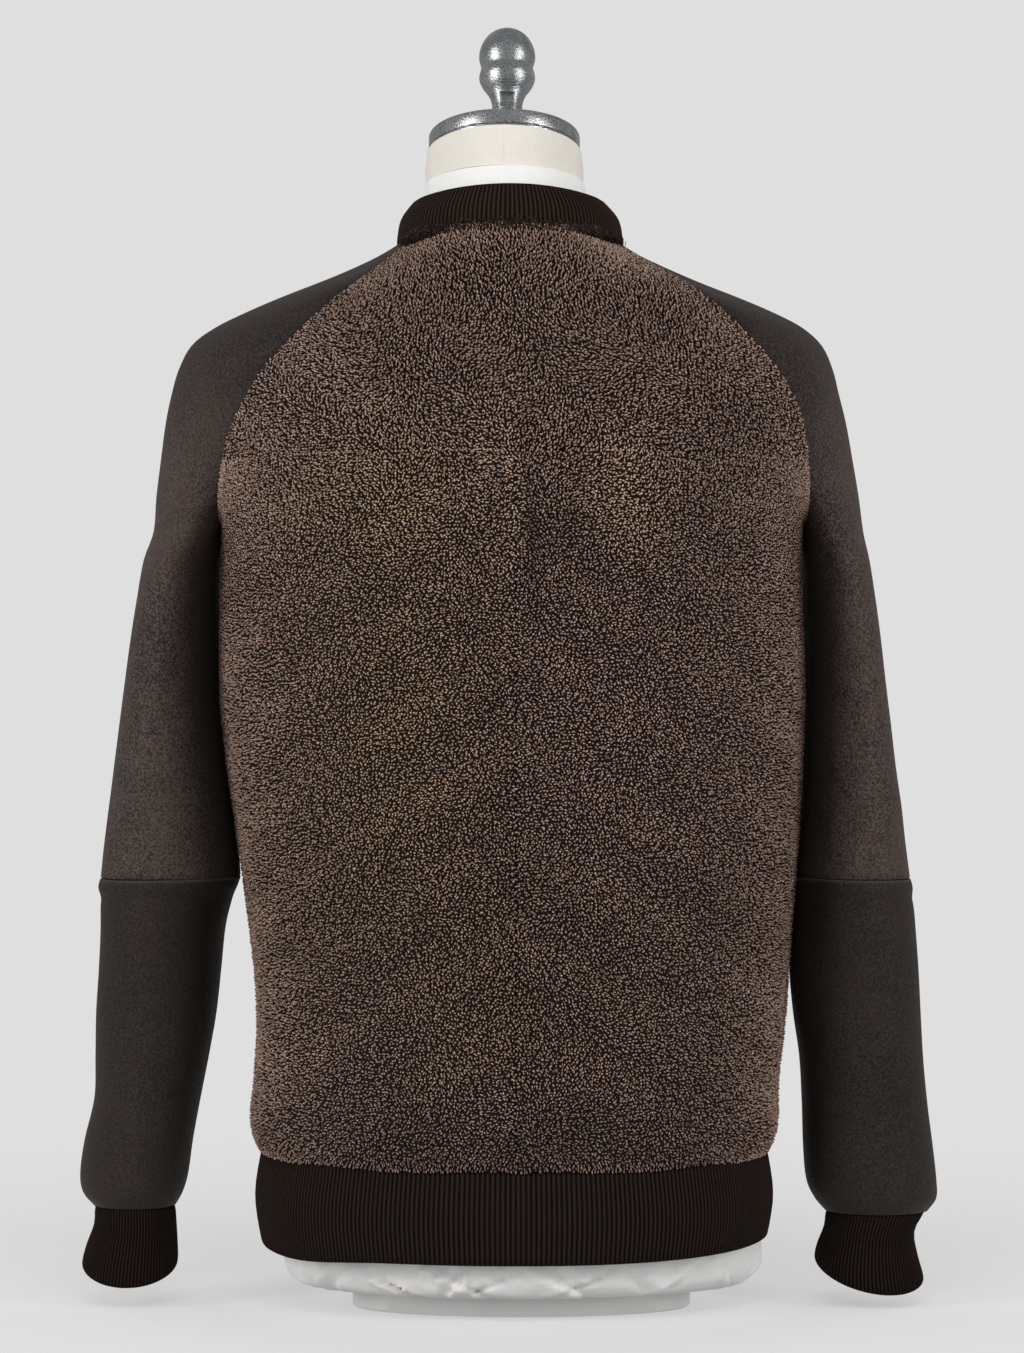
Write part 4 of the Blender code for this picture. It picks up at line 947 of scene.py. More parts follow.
sleeveShape = {
    "thickness": 2.6,
    "columns": 88,
    "steps": 4,
    "lowerSteps": 5,
    "rightDrop": 4.0,
    "roll": 0.8,            # how round the thick cut edges are
    "creaseDepth": 1.1,
    "wornStart": {"leatherUpper": 0.15, "leatherLower": 1.0},   # how pale the seams' edges are
    "wornEnd": 0.3,
    "shoulderShade": 0.88,  # how near the shoulders' painted shade toward the neck comes to the lower sleeves' painted shade
    # flat width and length in metres, and the cut's area in square metres
    "upperFlat": ((0.40, 0.47), {"left": 0.135, "right": 0.128}),
    "lowerFlat": ((0.29, 0.25), 0.0645),
}
creases = columns(
    # soft hollows and swells of the leather: turn 0.25 faces back, 0.5 outward
    "turn z wide high lean depth", [
        (0.20, 330, 0.07, 16, 0.10, -0.8),
        (0.33, 352, 0.09, 14, -0.12, 0.5),
        (0.16, 515, 0.06, 22, 0.18, -1.2),
        (0.24, 470, 0.10, 30, 0.10, 0.7),
        (0.38, 560, 0.05, 70, 0.00, 0.5),
        (0.22, 262, 0.10, 12, 0.06, 0.6),
        (0.30, 150, 0.10, 36, -0.05, -0.6),
        (0.25, 286, 0.30, 5, 0.00, -1.1),
        (0.17, 440, 0.025, 60, 0.03, 0.8),
        (0.70, 330, 0.09, 18, -0.10, -0.8),
        (0.80, 520, 0.08, 24, -0.15, -1.0)])


def ringLines(rows, side, turns, drop=0.0):
    # Closed elliptical rings: y goes as the sine of the turn, and x as its cosine plus a skew times
    # its sine, which leans the front edge toward the body between the same outer and inner edges.
    name = sideNames[side]
    outer, inner = rows[name + "Out"][:, None], rows[name + "In"][:, None]
    back, front, skew = rows["back"][:, None], rows["front"][:, None], rows["skew"][:, None]
    angle = 2.0 * np.pi * turns
    reach = np.sqrt(((outer - inner) / 2.0) ** 2 - skew ** 2)
    x = side * ((outer + inner) / 2.0 - reach * np.cos(angle) + skew * np.sin(angle))
    y = (back + front) / 2.0 - (front - back) / 2.0 * np.sin(angle)
    z = np.broadcast_to(rows["z"][:, None] - np.reshape(drop, (-1, 1)), x.shape)
    return np.stack([x, y, z], axis=2)


def shoulderLines(side, turns):
    # From one raglan seam to the other: a cosine blend of the two seams, raised to the ridge by a
    # sine (squared where the ring is a closed tube) and bulged behind and in front of them.
    name = sideNames[side]
    seams = [np.stack([side * raglanSeams[face][name], raglanSeams[face]["y"],
                       raglanSeams[face]["z"]], 1)[:, None] for face in ("back", "front")]
    top = np.stack([side * ridgeLine[name], ridgeLine["y"], ridgeLine["z"]], 1)[:, None]
    blend = ((1.0 - np.cos(np.pi * turns)) / 2.0)[None, :, None]
    plump = ridgeLine["roundness"][:, None]
    rise = (1.0 - plump) * np.sin(np.pi * turns) ** 2 + plump * np.sin(np.pi * turns)
    depth = np.where(turns < 0.5, ridgeLine["backDepth"][:, None], ridgeLine["frontDepth"][:, None])
    points = seams[0] + (seams[1] - seams[0]) * blend
    points = points + (top - (seams[0] + seams[1]) / 2.0) * rise[..., None]
    points[..., 1] -= depth * np.sin(2.0 * np.pi * turns)
    # Behind the ridge the shoulder slopes down, most halfway to the back seam.
    points[..., 2] -= ridgeLine[name + "Sink"][:, None] * np.sin(2.0 * np.pi * np.clip(turns, 0.0, 0.5))
    first = middleLine["backAngle"][-1]
    final = 180.0 - middleLine["frontAngle"][-1]
    points[-1] = neckLine(neckRow, side, first + (final - first) * turns)
    return points


def creased(points, normals, turns):
    # Adds each crease as a bell along a leaning line, plus a very slow ripple.
    z = points[..., 2]
    lift = 0.18 * np.sin(z / 27.0 + 5.0 * turns) * np.sin(2.0 * np.pi * turns)
    for index in range(len(creases["z"])):
        away = turns - creases["turn"][index] - creases["lean"][index] * (z - creases["z"][index]) / 60.0
        lift = lift + creases["depth"][index] * bell(away, creases["wide"][index]) \
            * bell(z - creases["z"][index], creases["high"][index])
    fade = np.sin(np.pi * turns) ** 0.5 * smoothstep(0.0, 3.0, np.arange(len(points)))[:, None] \
        * smoothstep(0.0, 3.0, np.arange(len(points))[::-1])[:, None]
    return points + normals * (lift * fade * sleeveShape["creaseDepth"])[..., None]


def wornEdge(rows, cols, start, end):
    # The given strengths beside the first and last rows, falling over two rows, on both faces.
    line = np.arange(rows)[:, None]
    worn = start * bell(line, 1.2) + end * bell(rows - 1 - line, 1.2)
    return np.tile(np.repeat(worn, cols, axis=1).ravel(), 2)


def addSleeve(name, node, points, turns, closedRows, flat, area):
    # A tube whose last column lies on its first. An upper sleeve parts there above the underarm.
    isLower = closedRows == len(points)
    normals = gridNormals(points, points[0].mean(axis=0), isLower)
    if not isLower:
        shared = unit(normals[:closedRows, 0] + normals[:closedRows, -1])
        normals[:closedRows, 0] = shared
        normals[:closedRows, -1] = shared
    outer = creased(points, normals, turns[None])
    inner = points - normals * sleeveShape["thickness"]
    edges = ("bottom", "top")
    outer, inner = drawnBack(outer, edges, 0.5), drawnBack(inner, edges, 0.5)
    if not isLower:
        for grid in (outer, inner):
            apart = drawnBack(grid, ("start", "end"), bodyShape["seamGap"])
            grid[closedRows:] = apart[closedRows:]
            grid[:closedRows, -1] = grid[:closedRows, 0]
    shape, faces = shell(outer, inner, sleeveShape["roll"], isLower)
    worn = np.zeros(len(shape))
    around = np.zeros(len(shape))
    cols = points.shape[1] - int(isLower)
    both = wornEdge(len(points), cols, sleeveShape["wornStart"][name[:12]], sleeveShape["wornEnd"])
    worn[:len(both)] = both
    # 1 on the side toward the body and 0 on the outer side, and weaker over the shoulder: the mask of the
    # painted shade toward the body and of the painted warm sheen on the outer side.
    inward = 0.5 + 0.5 * np.cos(2.0 * np.pi * turns[:cols])
    above = np.where(np.arange(len(points)) < closedRows, 1.0, 0.75)[:, None]
    around[:len(both)] = np.tile((inward * above).ravel(), 2)
    # Painted shade: the lower sleeves are darker all over, and the shoulders toward the neck.
    lower = np.maximum(float(isLower), sleeveShape["shoulderShade"] * smoothstep(560.0, 690.0, shape[:, 2]))
    piece = addPiece(name, shape, faces, finishes["leather"], (node,),
                     values={"worn": worn, "around": around, "lower": lower}, sharp=70.0)


def makeSleeves():
    turns = np.linspace(0.0, 1.0, sleeveShape["columns"] + 1)
    steps = sleeveShape["steps"]
    upperFlat, upperArea = sleeveShape["upperFlat"]
    for side in (-1, 1):
        name = sideNames[side]
        points = smoothRows(np.concatenate([
            ringLines(upperSleeve, side, turns), shoulderLines(side, turns)]), steps)
        closed = len(upperSleeve["z"]) * steps + 1
        points[:closed, -1] = points[:closed, 0]
        addSleeve("leatherUpper" + name.capitalize(), "sleeve_" + name + "_upper", points, turns,
                  closed, upperFlat, upperArea[name])
        drop = (sleeveShape["rightDrop"] if side > 0 else 0.0) \
            * smoothstep(lowerSleeve["z"][0], lowerSleeve["z"][-1], lowerSleeve["z"])
        points = smoothRows(ringLines(lowerSleeve, side, turns, drop), sleeveShape["lowerSteps"])
        points[:, -1] = points[:, 0]
        addSleeve("leatherLower" + name.capitalize(), "sleeve_" + name + "_lower", points, turns,
                  len(points), *sleeveShape["lowerFlat"])


makeSleeves()
print("leather sleeves made")


# Knit bands: a rounded wall profile carried along a line, with a rib for each wave of its outside

bandShape = {
    "wall": 3.0,
    "ribHeight": 0.95,
    "edgeRib": 0.55,        # share of the ribs' height that is left at a band's edges
    "insideShade": 0.35,
    "perRib": 4,            # columns in one rib
    "hemRibs": 320,
    "hemSag": (0.0, 2.5, 6.0),   # how far each row hangs at the left of the back
    "collarRibs": 144,
    "cuffRibs": 84,
    "collarOpening": (8.0, 78.5),   # half width of the opening in front, and the collar's radius
    # flat width and length in metres, and the cut's area in square metres
    "hemFlat": ((1.00, 0.068), 0.0646),
    "collarFlat": ((0.475, 0.0367), None),
    "cuffFlat": ((0.215, 0.0445), None),
}


def ribbed(name, node, outer, closed, lipRise=0.6, shade=1.0):
    # Each column is a loop: up the ribbed outside, over a rounded edge, down the plain inside.
    rows, cols = outer.shape[:2]
    wall = bandShape["wall"]
    tangent = slopeAcross(outer, closed)
    out = unit(np.stack([tangent[..., 1], -tangent[..., 0], np.zeros(tangent.shape[:2])], axis=2))
    out = out * np.sign(np.sum(out * (outer - outer.mean(axis=(0, 1)))))
    wave = 0.5 - 0.5 * np.cos(2.0 * np.pi * np.arange(cols) / bandShape["perRib"])
    ridge = wave ** 0.8
    lift = (ridge * bandShape["ribHeight"])[None, :, None]
    edge = np.ones((rows, 1, 1))
    edge[0] = edge[-1] = bandShape["edgeRib"]
    face = outer + out * lift * edge
    inside = outer - out * wall
    up = unit(outer[-1] - outer[-2])
    down = unit(outer[0] - outer[1])
    rounding = ((0.2, 0.8), (0.5, 1.0), (0.8, 0.8))
    lip = [outer[-1] - out[-1] * wall * share + up * lipRise * rise for share, rise in rounding]
    foot = [outer[0] - out[0] * wall * share + down * lipRise * rise for share, rise in rounding[::-1]]
    inner = inside[::-1][:: max(rows // 3, 1)]
    inner = np.concatenate([inner, inside[:1]]) if np.any(inner[-1] != inside[0]) else inner
    loop = np.concatenate([face, np.stack(lip), inner, np.stack(foot)])
    count = len(loop)
    heights = runAlong(loop).mean(axis=1)
    uv = np.stack(np.broadcast_arrays(runAlong(outer[0])[None], heights[:, None]), axis=2)
    strength = np.zeros((count, cols))
    # The ridge strength is the mask of the painted shade in the valleys and on the inside, and shade scales
    # it for a whole band.
    strength[:rows] = ridge[None] * shade
    strength[rows:] = bandShape["insideShade"] * shade
    if closed:
        loop, uv, strength = loop[:, :-1], uv[:, :-1], strength[:, :-1]
        cols -= 1
    corner = np.arange(count)[:, None] * cols
    below = ((np.arange(count) + 1) % count)[:, None] * cols
    here = np.arange(cols if closed else cols - 1)
    beside = (here + 1) % cols
    faces = [np.stack([corner + here, corner + beside, below + beside, below + here], 2).reshape(-1, 4)]
    points = loop.reshape(-1, 3)
    uv = uv.reshape(-1, 2)
    strength = strength.ravel()
    if not closed:
        for end, order in ((0, 1), (cols - 1, -1)):
            rim = np.arange(count) * cols + end
            hub = len(points)
            points = np.concatenate([points, points[rim].mean(axis=0)[None]])
            uv = np.concatenate([uv, uv[rim].mean(axis=0)[None]])
            strength = np.append(strength, 0.3)
            fan = np.stack([np.full(count, hub), rim, np.roll(rim, -1)], 1)
            faces.append(fan[:, ::order])
    piece = addPiece(name, points, faces, finishes["rib"], (node,), uv=uv,
                     values={"ridge": strength})


collarRows = columns(
    "left right back front zSide zBack zFront", [
        (78.5, 78.5, 68.6, 68.4, 740.6, 745.6, 690.8),
        (75.6, 75.4, 63.0, 66.8, 758.0, 763.5, 710.0),
        (67.2, 65.6, 57.5, 64.0, 770.5, 776.5, 725.0)])


def makeHem():
    # From the left zip edge round the back to the right zip edge.
    half = bandShape["hemRibs"] // 2 * bandShape["perRib"]
    parts = []
    for side in (-1, 1):
        start = zipShares(side, bodyShape["zipHalfOpening"], hemRows)
        walk = np.linspace(0.0, 1.0, half + 1)[None] * (2.0 - start[:, None])
        back = lowLines(hemRows, "back", side, np.clip(walk, 0, 1))
        front = lowLines(hemRows, "front", side, np.clip(2.0 - walk, 0, 1))
        parts.append(np.where((walk <= 1.0)[..., None], back, front))
    line = np.concatenate([parts[0][:, ::-1], parts[1][:, 1:]], axis=1)
    # The lower edge hangs a little lower at the left of the back.
    sag = bell(line[..., 0] + 155.0, 45.0) * smoothstep(20.0, -30.0, line[..., 1])
    line[..., 2] -= sag * np.array(bandShape["hemSag"])[:, None]
    ribbed("hemBand", "hem_band", smoothRows(line[::-1], 4), False)


def makeCollar():
    # From the left zip edge round the back of the neck, folded over at its top edge.
    count = bandShape["collarRibs"] * bandShape["perRib"]
    halfOpening, radius = bandShape["collarOpening"]
    opening = math.degrees(math.asin(halfOpening / radius))
    angles = np.linspace(-1.0, 1.0, count + 1) * (180.0 - opening)
    rows = []
    for index in range(len(collarRows["left"])):
        row = {key: value[index] for key, value in collarRows.items()}
        rows.append(neckLine(row, np.where(angles < 0, -1.0, 1.0), np.abs(angles)))
    # The collar's ribs are painted lighter, a painted light from above.
    ribbed("collarBand", "collar", smoothRows(np.array(rows), 5), False,
           2.2, 1.25)


def makeCuffs():
    # Closed rings whose mouths slope with the hang of the arm.
    turns = np.linspace(0.0, 1.0, bandShape["cuffRibs"] * bandShape["perRib"] + 1)
    middleY = (cuffRows["back"] + cuffRows["front"]) / 2.0
    for side in (-1, 1):
        name = sideNames[side]
        rings = ringLines(cuffRows, side, turns, sleeveShape["rightDrop"] if side > 0 else 0.0)
        rings[..., 2] += cuffRows["slope"][:, None] * (rings[..., 1] - middleY[:, None])
        if side > 0:
            rings[..., 2] += cuffRows["rightTilt"][:, None] * np.cos(2.0 * np.pi * turns)
        rings = smoothRows(rings[::-1], 3)
        rings[:, -1] = rings[:, 0]
        # The cuffs' ribs are painted darker: painted shade.
        ribbed("cuffBand" + name.capitalize(), "cuff_" + name, rings, True,
               shade=0.8)


makeHem()
makeCollar()
makeCuffs()
print("knit bands made")


# Longer combed pile at the neck

tuftShape = {
    "count": 1700,
    "length": (5.5, 11.0),
    "width": 0.5,
    "rows": 1.8,            # how many of the yoke's last rows they grow from
    "rootHeight": 3.0,
    "spread": 0.45,         # how far they differ from straight up, and how they rise off the pile
    "rise": (0.15, 0.5),
    "bend": 1.2,
    "shade": -0.5,          # they are darker than the curls
}


def makeTufts():
    # Thin three-sided cones with a bend, rooted just under the collar's seam and lying up over it.
    count = tuftShape["count"]
    row = len(yokeGrid) - 1 - rng.uniform(0.0, tuftShape["rows"], count)
    col = rng.uniform(0.0, yokeGrid.shape[1] - 1.001, count)
    normals = gridNormals(yokeGrid, bodyMiddle)
    base = sampled(yokeGrid, row, col)
    out = unit(sampled(normals, row, col))
    up = unit(sampled(np.gradient(yokeGrid, axis=0), row, col))
    side = np.cross(out, up)
    way = unit(up + side * rng.normal(0, tuftShape["spread"], count)[:, None]
               + out * rng.uniform(*tuftShape["rise"], count)[:, None])
    length = rng.uniform(*tuftShape["length"], count)[:, None]
    width = tuftShape["width"] * rng.uniform(0.7, 1.3, count)[:, None]
    bend = rng.normal(0, tuftShape["bend"], count)[:, None]
    base = base + out * tuftShape["rootHeight"]
    rings = []
    for share, fat in ((0.0, 1.0), (0.5, 0.8)):
        middle = base + way * length * share + side * bend * share ** 2 + out * 1.6 * share * (1 - share) * 4
        for turn in (0.0, 2.1, 4.2):
            rings.append(middle + (out * math.cos(turn) + side * math.sin(turn)) * width * fat)
    rings.append(base + way * length + side * bend)
    points = np.stack(rings, axis=1)
    faces = [(2, 1, 0), (3, 4, 6), (4, 5, 6), (5, 3, 6)]
    for a, b in ((0, 1), (1, 2), (2, 0)):
        faces += [(a, b, b + 3), (a, b + 3, a + 3)]
    corners = (np.arange(count)[:, None, None] * 7 + np.array(faces)).reshape(-1, 3)
    light, olive = patchAt(base)
    each = np.ones(7)
    # Their tip values give the same painted shade at the root, paler toward the tip.
    addPiece("curlsCollarEdge", points.reshape(-1, 3), [corners], finishes["shearling"],
             values={"tip": np.tile([0.1, 0.1, 0.1, 0.3, 0.3, 0.3, 0.6], count),
                     "shade": np.repeat(rng.uniform(0, 1, count), 7),
                     "patch": np.kron(light + tuftShape["shade"], each), "olive": np.kron(olive, each)})


makeTufts()
print("combed edge made")


# Zip: woven tapes, a row of teeth on each, and the slider with its tab

zipShape = {
    "tapeEdge": 0.3,        # from the zip's middle to each tape's edge
    "tapeHalfWidth": 17.0,
    "tapeDepth": 3.7,
    "tapeThickness": 0.9,
    "toothPitch": 2.4,
    "tooth": (3.4, 1.9, 1.25),   # across, out of the cloth, along
    "toothHead": 0.72,
    "toothDepth": 2.4,
    "flat": (0.017, 0.66),
}


def zipLines(offsets):
    # Rows of the front's surface from the hem's edge to the neck, at given distances from the zip.
    lines = []
    for offset in offsets:
        side = 1 if offset >= 0 else -1
        hemShare = zipShares(side, abs(offset), hemRows)[:, None]
        lowShare = zipShares(side, abs(offset), bodyRows)[:, None]
        highShare = zipShares(side, abs(offset))[:, None]
        lines.append(np.concatenate([
            lowLines(hemRows, "front", side, hemShare)[:0:-1, 0],
            lowLines(bodyRows, "front", side, lowShare)[:, 0],
            highLines("front", side, highShare)[:-1, 0]]))
    return np.stack(lines, axis=1)


def makeTeeth(side):
    # A tooth at each pitch up the zip: a small block with a narrowed head, so that the two rows
    # interlock.
    line = smoothRows(zipLines([side * zipShape["tapeEdge"]]), 8)[:, 0]
    away = smoothRows(zipLines([side * 3.0]), 8)[:, 0]
    run = runAlong(line)
    pitch = zipShape["toothPitch"]
    spots = np.arange(3.0 + (pitch / 2.0 if side > 0 else 0.0), run[-1] - 2.0, pitch)
    at = placesAlong(spots, run, line)
    along = unit(np.gradient(at, axis=0))
    across = unit(placesAlong(spots, run, away) - at)
    out = unit(np.cross(along, across))
    out *= np.sign(out[:, 1:2])
    width, height, length = zipShape["tooth"]
    shape = np.array([(x, y, z) for x in (-0.35, 0.65) for y in (-0.5, 0.5) for z in (-0.5, 0.5)])
    shape[:, 1:] *= np.where(shape[:, :1] < 0, zipShape["toothHead"], 1.0)
    places = at - out * zipShape["toothDepth"]
    points = (places[:, None] + across[:, None] * (shape[:, 0] * width)[None, :, None]
              + out[:, None] * (shape[:, 1] * height)[None, :, None]
              + along[:, None] * (shape[:, 2] * length)[None, :, None])
    box = np.array([(0, 1, 3, 2), (4, 6, 7, 5), (0, 4, 5, 1), (2, 3, 7, 6), (0, 2, 6, 4), (1, 5, 7, 3)])
    faces = (np.arange(len(at))[:, None, None] * 8 + box).reshape(-1, 4)
    return addPiece("zipTeeth" + sideNames[side].capitalize(), points.reshape(-1, 3), [faces],
                    finishes["zipMetal"], sharp=30.0)


def makeZip():
    for side in (-1, 1):
        name = sideNames[side]
        offsets = side * np.linspace(zipShape["tapeEdge"], zipShape["tapeHalfWidth"], 5)
        grid = smoothRows(zipLines(offsets), 4)
        normals = gridNormals(grid, bodyMiddle)
        outer = grid - normals * zipShape["tapeDepth"]
        inner = outer - normals * zipShape["tapeThickness"]
        points, faces = shell(outer, inner, 0.15)
        tape = addPiece("zipTape" + name.capitalize(), points, faces, finishes["tape"],
                        ("zip_tape_" + name,), uv=points[:, ::2])
        makeTeeth(side)
    for node in ("zip_slider", "zip_pull_tab"):
        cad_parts[node].data.materials.clear()
        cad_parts[node].data.materials.append(finishes["zipMetal"])


makeZip()
print("zip made")


# Dress form

formRows = columns(
    "z left right back front rise", [
        (16.5, 141, 157, 86, 82, 0),
        (21, 151, 167, 95, 91, 0),
        (32, 157, 173.5, 101, 97, 0),
        (60, 159, 175, 104, 99, 0),
        (110, 157, 171, 103, 98, 0),
        (180, 152, 166, 102, 96, 0),
        (250, 151, 164, 103, 96, 0),
        (330, 157, 167, 107, 99, 0),
        (420, 169, 175, 114, 104, 0),
        (500, 180, 184, 121, 107, 0),
        (560, 184, 187, 124, 108, 0),
        (605, 183, 185, 122, 103, 0),
        (640, 181, 182, 117, 92, 0),
        (662, 180, 180, 112, 82, 0),
        (678, 176, 176, 107, 68, 0),
        (690, 176, 176, 101, 58, 0),
        (701, 156.3, 156.3, 93, 50, 0),
        (712, 129.7, 129.7, 84, 44, 0),
        (723, 103.6, 103.6, 74, 41, 0),
        (738, 70, 68, 62, 43, 0),
        (756, 61, 57, 56, 49, 4),
        (782, 59.5, 52.5, 52, 60, 10)])
formShape = {
    "columns": 360,
    "capLean": 15.0,
    "capMiddle": (-4.0, 7.0, 806.5),
    "capRadius": 53.0,
    "capHeight": 13.0,
    "capDish": 0.7,         # how far the finial's foot is below the cap's rim
    "finialX": -2.0,
    "gatherDepth": 1.0,     # small crumples of the cover where it is tucked under the form
    "neckWidth": 55.6,
    "neckDepth": 57.0,
    "neckFoot": (-3.8, 5.0, 782.4),
    "neckBelowCap": 0.4,
    "foldScale": 1.7,
    "foldReach": (1.6, 2.6),        # most that a fold stands out under the hem band, and more below it
    "recess": (20.0, 30.0, 0.47, 8.0),   # levels, half angle and depth from the stem's axis
    "baseReach": (118.0, 58.0),
    "baseMiddleX": 8.0,
}
coverFolds = columns(
    # pulled folds low on the cover: place in degrees from the centre back, and how they lean
    "place z wide high lean depth", [
        (-52, 34, 3.2, 20, 0.55, 3.0),
        (-38, 30, 2.6, 22, -0.70, 2.6),
        (-33, 26, 2.0, 16, -0.85, -2.4),
        (-21, 38, 2.4, 26, -0.60, 2.8),
        (-14, 30, 1.8, 18, 0.30, -2.0),
        (-4, 34, 2.6, 22, 0.75, 2.2),
        (9, 30, 3.0, 24, -0.50, 2.4),
        (20, 36, 2.2, 20, 0.65, 2.6),
        (31, 28, 2.6, 18, -0.40, -2.2),
        (43, 34, 3.0, 24, 0.50, 3.0),
        (57, 30, 2.6, 20, -0.60, 2.4),
        (82, 34, 3.0, 22, 0.40, 2.4),
        (-80, 36, 3.0, 22, -0.45, 2.4),
        (112, 32, 3.0, 22, -0.50, 2.6),
        (-108, 30, 3.0, 20, 0.60, 2.4),
        (138, 34, 3.2, 24, 0.55, 2.6),
        (-140, 32, 3.0, 22, -0.55, 2.6),
        (168, 36, 3.0, 22, 0.50, 2.2)])
finialProfile = columns(
    "radius height", [
        (17.0, 0), (17.5, 2.0), (15.0, 4.5), (12.2, 8), (11.0, 14), (10.6, 20), (11.0, 26),
        (13.2, 32), (17.4, 38), (19.5, 43), (19.6, 46.5), (18.6, 50.5), (18.2, 52.5), (18.8, 55),
        (19.8, 59.5), (19.4, 65), (17.2, 71), (13.2, 76.5), (7.4, 80.3), (2.0, 81.7)])


def capped(name, rings, finish, node, uv=None, sharp=None):
    # A tube of rings closed at both ends by a fan around a middle point.
    rows, cols = rings.shape[:2]
    faces = [tubeFaces(rows, cols)]
    points = np.concatenate([rings.reshape(-1, 3), rings[:1].mean(axis=1), rings[-1:].mean(axis=1)])
    step = np.arange(cols)
    after = (step + 1) % cols
    last = (rows - 1) * cols
    faces.append(np.stack([after, step, np.full(cols, rows * cols)], 1))
    faces.append(np.stack([last + step, last + after, np.full(cols, rows * cols + 1)], 1))
    if uv is not None:
        uv = np.concatenate([uv.reshape(-1, 2), uv[:1].mean(axis=1), uv[-1:].mean(axis=1)])
    return addPiece(name, points, faces, finish, (node,), uv=uv, sharp=sharp)


def clothUv(rings):
    # Millimetres round each ring and up the rings.
    around = np.linalg.norm(np.roll(rings, -1, axis=1) - rings, axis=2).cumsum(axis=1)
    return np.stack([around, rings[..., 2]], axis=2)


def turned(rings, lean, middle):
    # Rings turned forward about the x axis and set on a middle point.
    angle = math.radians(-lean)
    y = rings[..., 1] * math.cos(angle) - rings[..., 2] * math.sin(angle)
    z = rings[..., 1] * math.sin(angle) + rings[..., 2] * math.cos(angle)
    return np.stack([rings[..., 0], y, z], axis=2) + np.array(middle)


formAngles = 2.0 * np.pi * np.arange(formShape["columns"]) / formShape["columns"]


def ovalRings(profile, wide=1.0, deep=1.0, middleX=0.0):
    # Rings of a profile of radii and heights: x goes as the angle's sine, and y as less its cosine.
    return np.stack([profile[:, :1] * wide * np.sin(formAngles) + middleX,
                     -profile[:, :1] * deep * np.cos(formAngles),
                     np.repeat(profile[:, 1:], len(formAngles), axis=1)], axis=2)


def foldLift(z):
    # Leaning folds, each a bell beside a hollow, with small crumples between them.
    degrees = np.degrees(np.where(formAngles > np.pi, formAngles - 2.0 * np.pi, formAngles))
    lift = np.zeros_like(z)
    for index in range(len(coverFolds["z"])):
        fold = {key: value[index] for key, value in coverFolds.items()}
        away = (degrees - fold["place"] - fold["lean"] * (z - fold["z"])) / fold["wide"]
        wave = bell(away, 0.8) - 1.1 * bell(away - 1.3, 0.6)
        lift = lift + formShape["foldScale"] * fold["depth"] * wave * bell(z - fold["z"], fold["high"])
    crumple = np.sin(29.0 * formAngles + 2.0 * np.sin(3.0 * formAngles) + z / 5.0) \
        * np.sin(13.0 * formAngles - z / 6.0)
    return lift + crumple * formShape["gatherDepth"]


def makeCover():
    # The cover is pulled and tucked under the form, and its folds die out upward.
    side = np.where(np.sin(formAngles) < 0, formRows["left"][:, None], formRows["right"][:, None])
    depth = np.where(np.cos(formAngles) > 0, formRows["back"][:, None], formRows["front"][:, None])
    rings = smoothRows(np.stack([
        side * np.sin(formAngles), -depth * np.cos(formAngles),
        formRows["z"][:, None] + formRows["rise"][:, None] * np.cos(formAngles)], axis=2), 4)
    z = rings[..., 2]
    gathered = smoothstep(60.0, 24.0, z)
    lift = foldLift(z) * gathered - 0.4 * gathered
    reach = unit(rings - np.array([formShape["baseMiddleX"], 0.0, 0.0])
                 - np.array([0, 0, 1.0]) * z[..., None])
    # Under the hem band there is room for less.
    under, below = formShape["foldReach"]
    most = under + below * smoothstep(46.0, 34.0, z)
    rings = rings + reach * np.minimum(lift, most)[..., None]
    capped("formCover", rings, finishes["white"], "form_body", clothUv(rings), 75.0)


def makeNeck():
    # A leaning elliptical tube, from the cover to under the cap.
    foot = np.array(formShape["neckFoot"])
    head = np.array(formShape["capMiddle"]) - np.array([0.0, 0.0, formShape["neckBelowCap"]])
    shares = np.linspace(0.0, 1.0, 9)[:, None]
    lean = np.radians(10.0 + 5.0 * shares)
    width = np.interp(shares, (0.0, 0.5, 1.0), (-0.4, -0.2, -1.6))
    middles = (foot + (head - foot) * shares)[:, None]
    rings = middles + np.stack([
        (formShape["neckWidth"] + width) * np.sin(formAngles),
        -(formShape["neckDepth"] + width) * np.cos(formAngles) * np.cos(lean),
        (formShape["neckDepth"] + width) * np.cos(formAngles) * np.sin(lean)], axis=2)
    capped("formNeck", rings, finishes["cream"], "form_neck", clothUv(rings), 60.0)


def makeCap():
    # A turned rim with a small lip below and a shallow dish above.
    radius, height = formShape["capRadius"], formShape["capHeight"]
    rim = np.array([(radius - 2.4, 0.0), (radius - 0.9, 0.3), (radius - 0.5, 1.0), (radius - 0.6, 1.9),
                    (radius - 1.2, 2.3), (radius - 0.3, 2.8), (radius, 3.5), (radius, height - 1.4),
                    (radius - 0.5, height - 0.4), (radius - 1.4, height), (radius - 5.0, height),
                    (radius - 5.8, height - 0.4), (radius - 6.2, height - 1.0)])
    rings = turned(ovalRings(rim), formShape["capLean"], formShape["capMiddle"])
    capped("formCap", rings, finishes["castMetal"], "form_neck_cap", sharp=40.0)


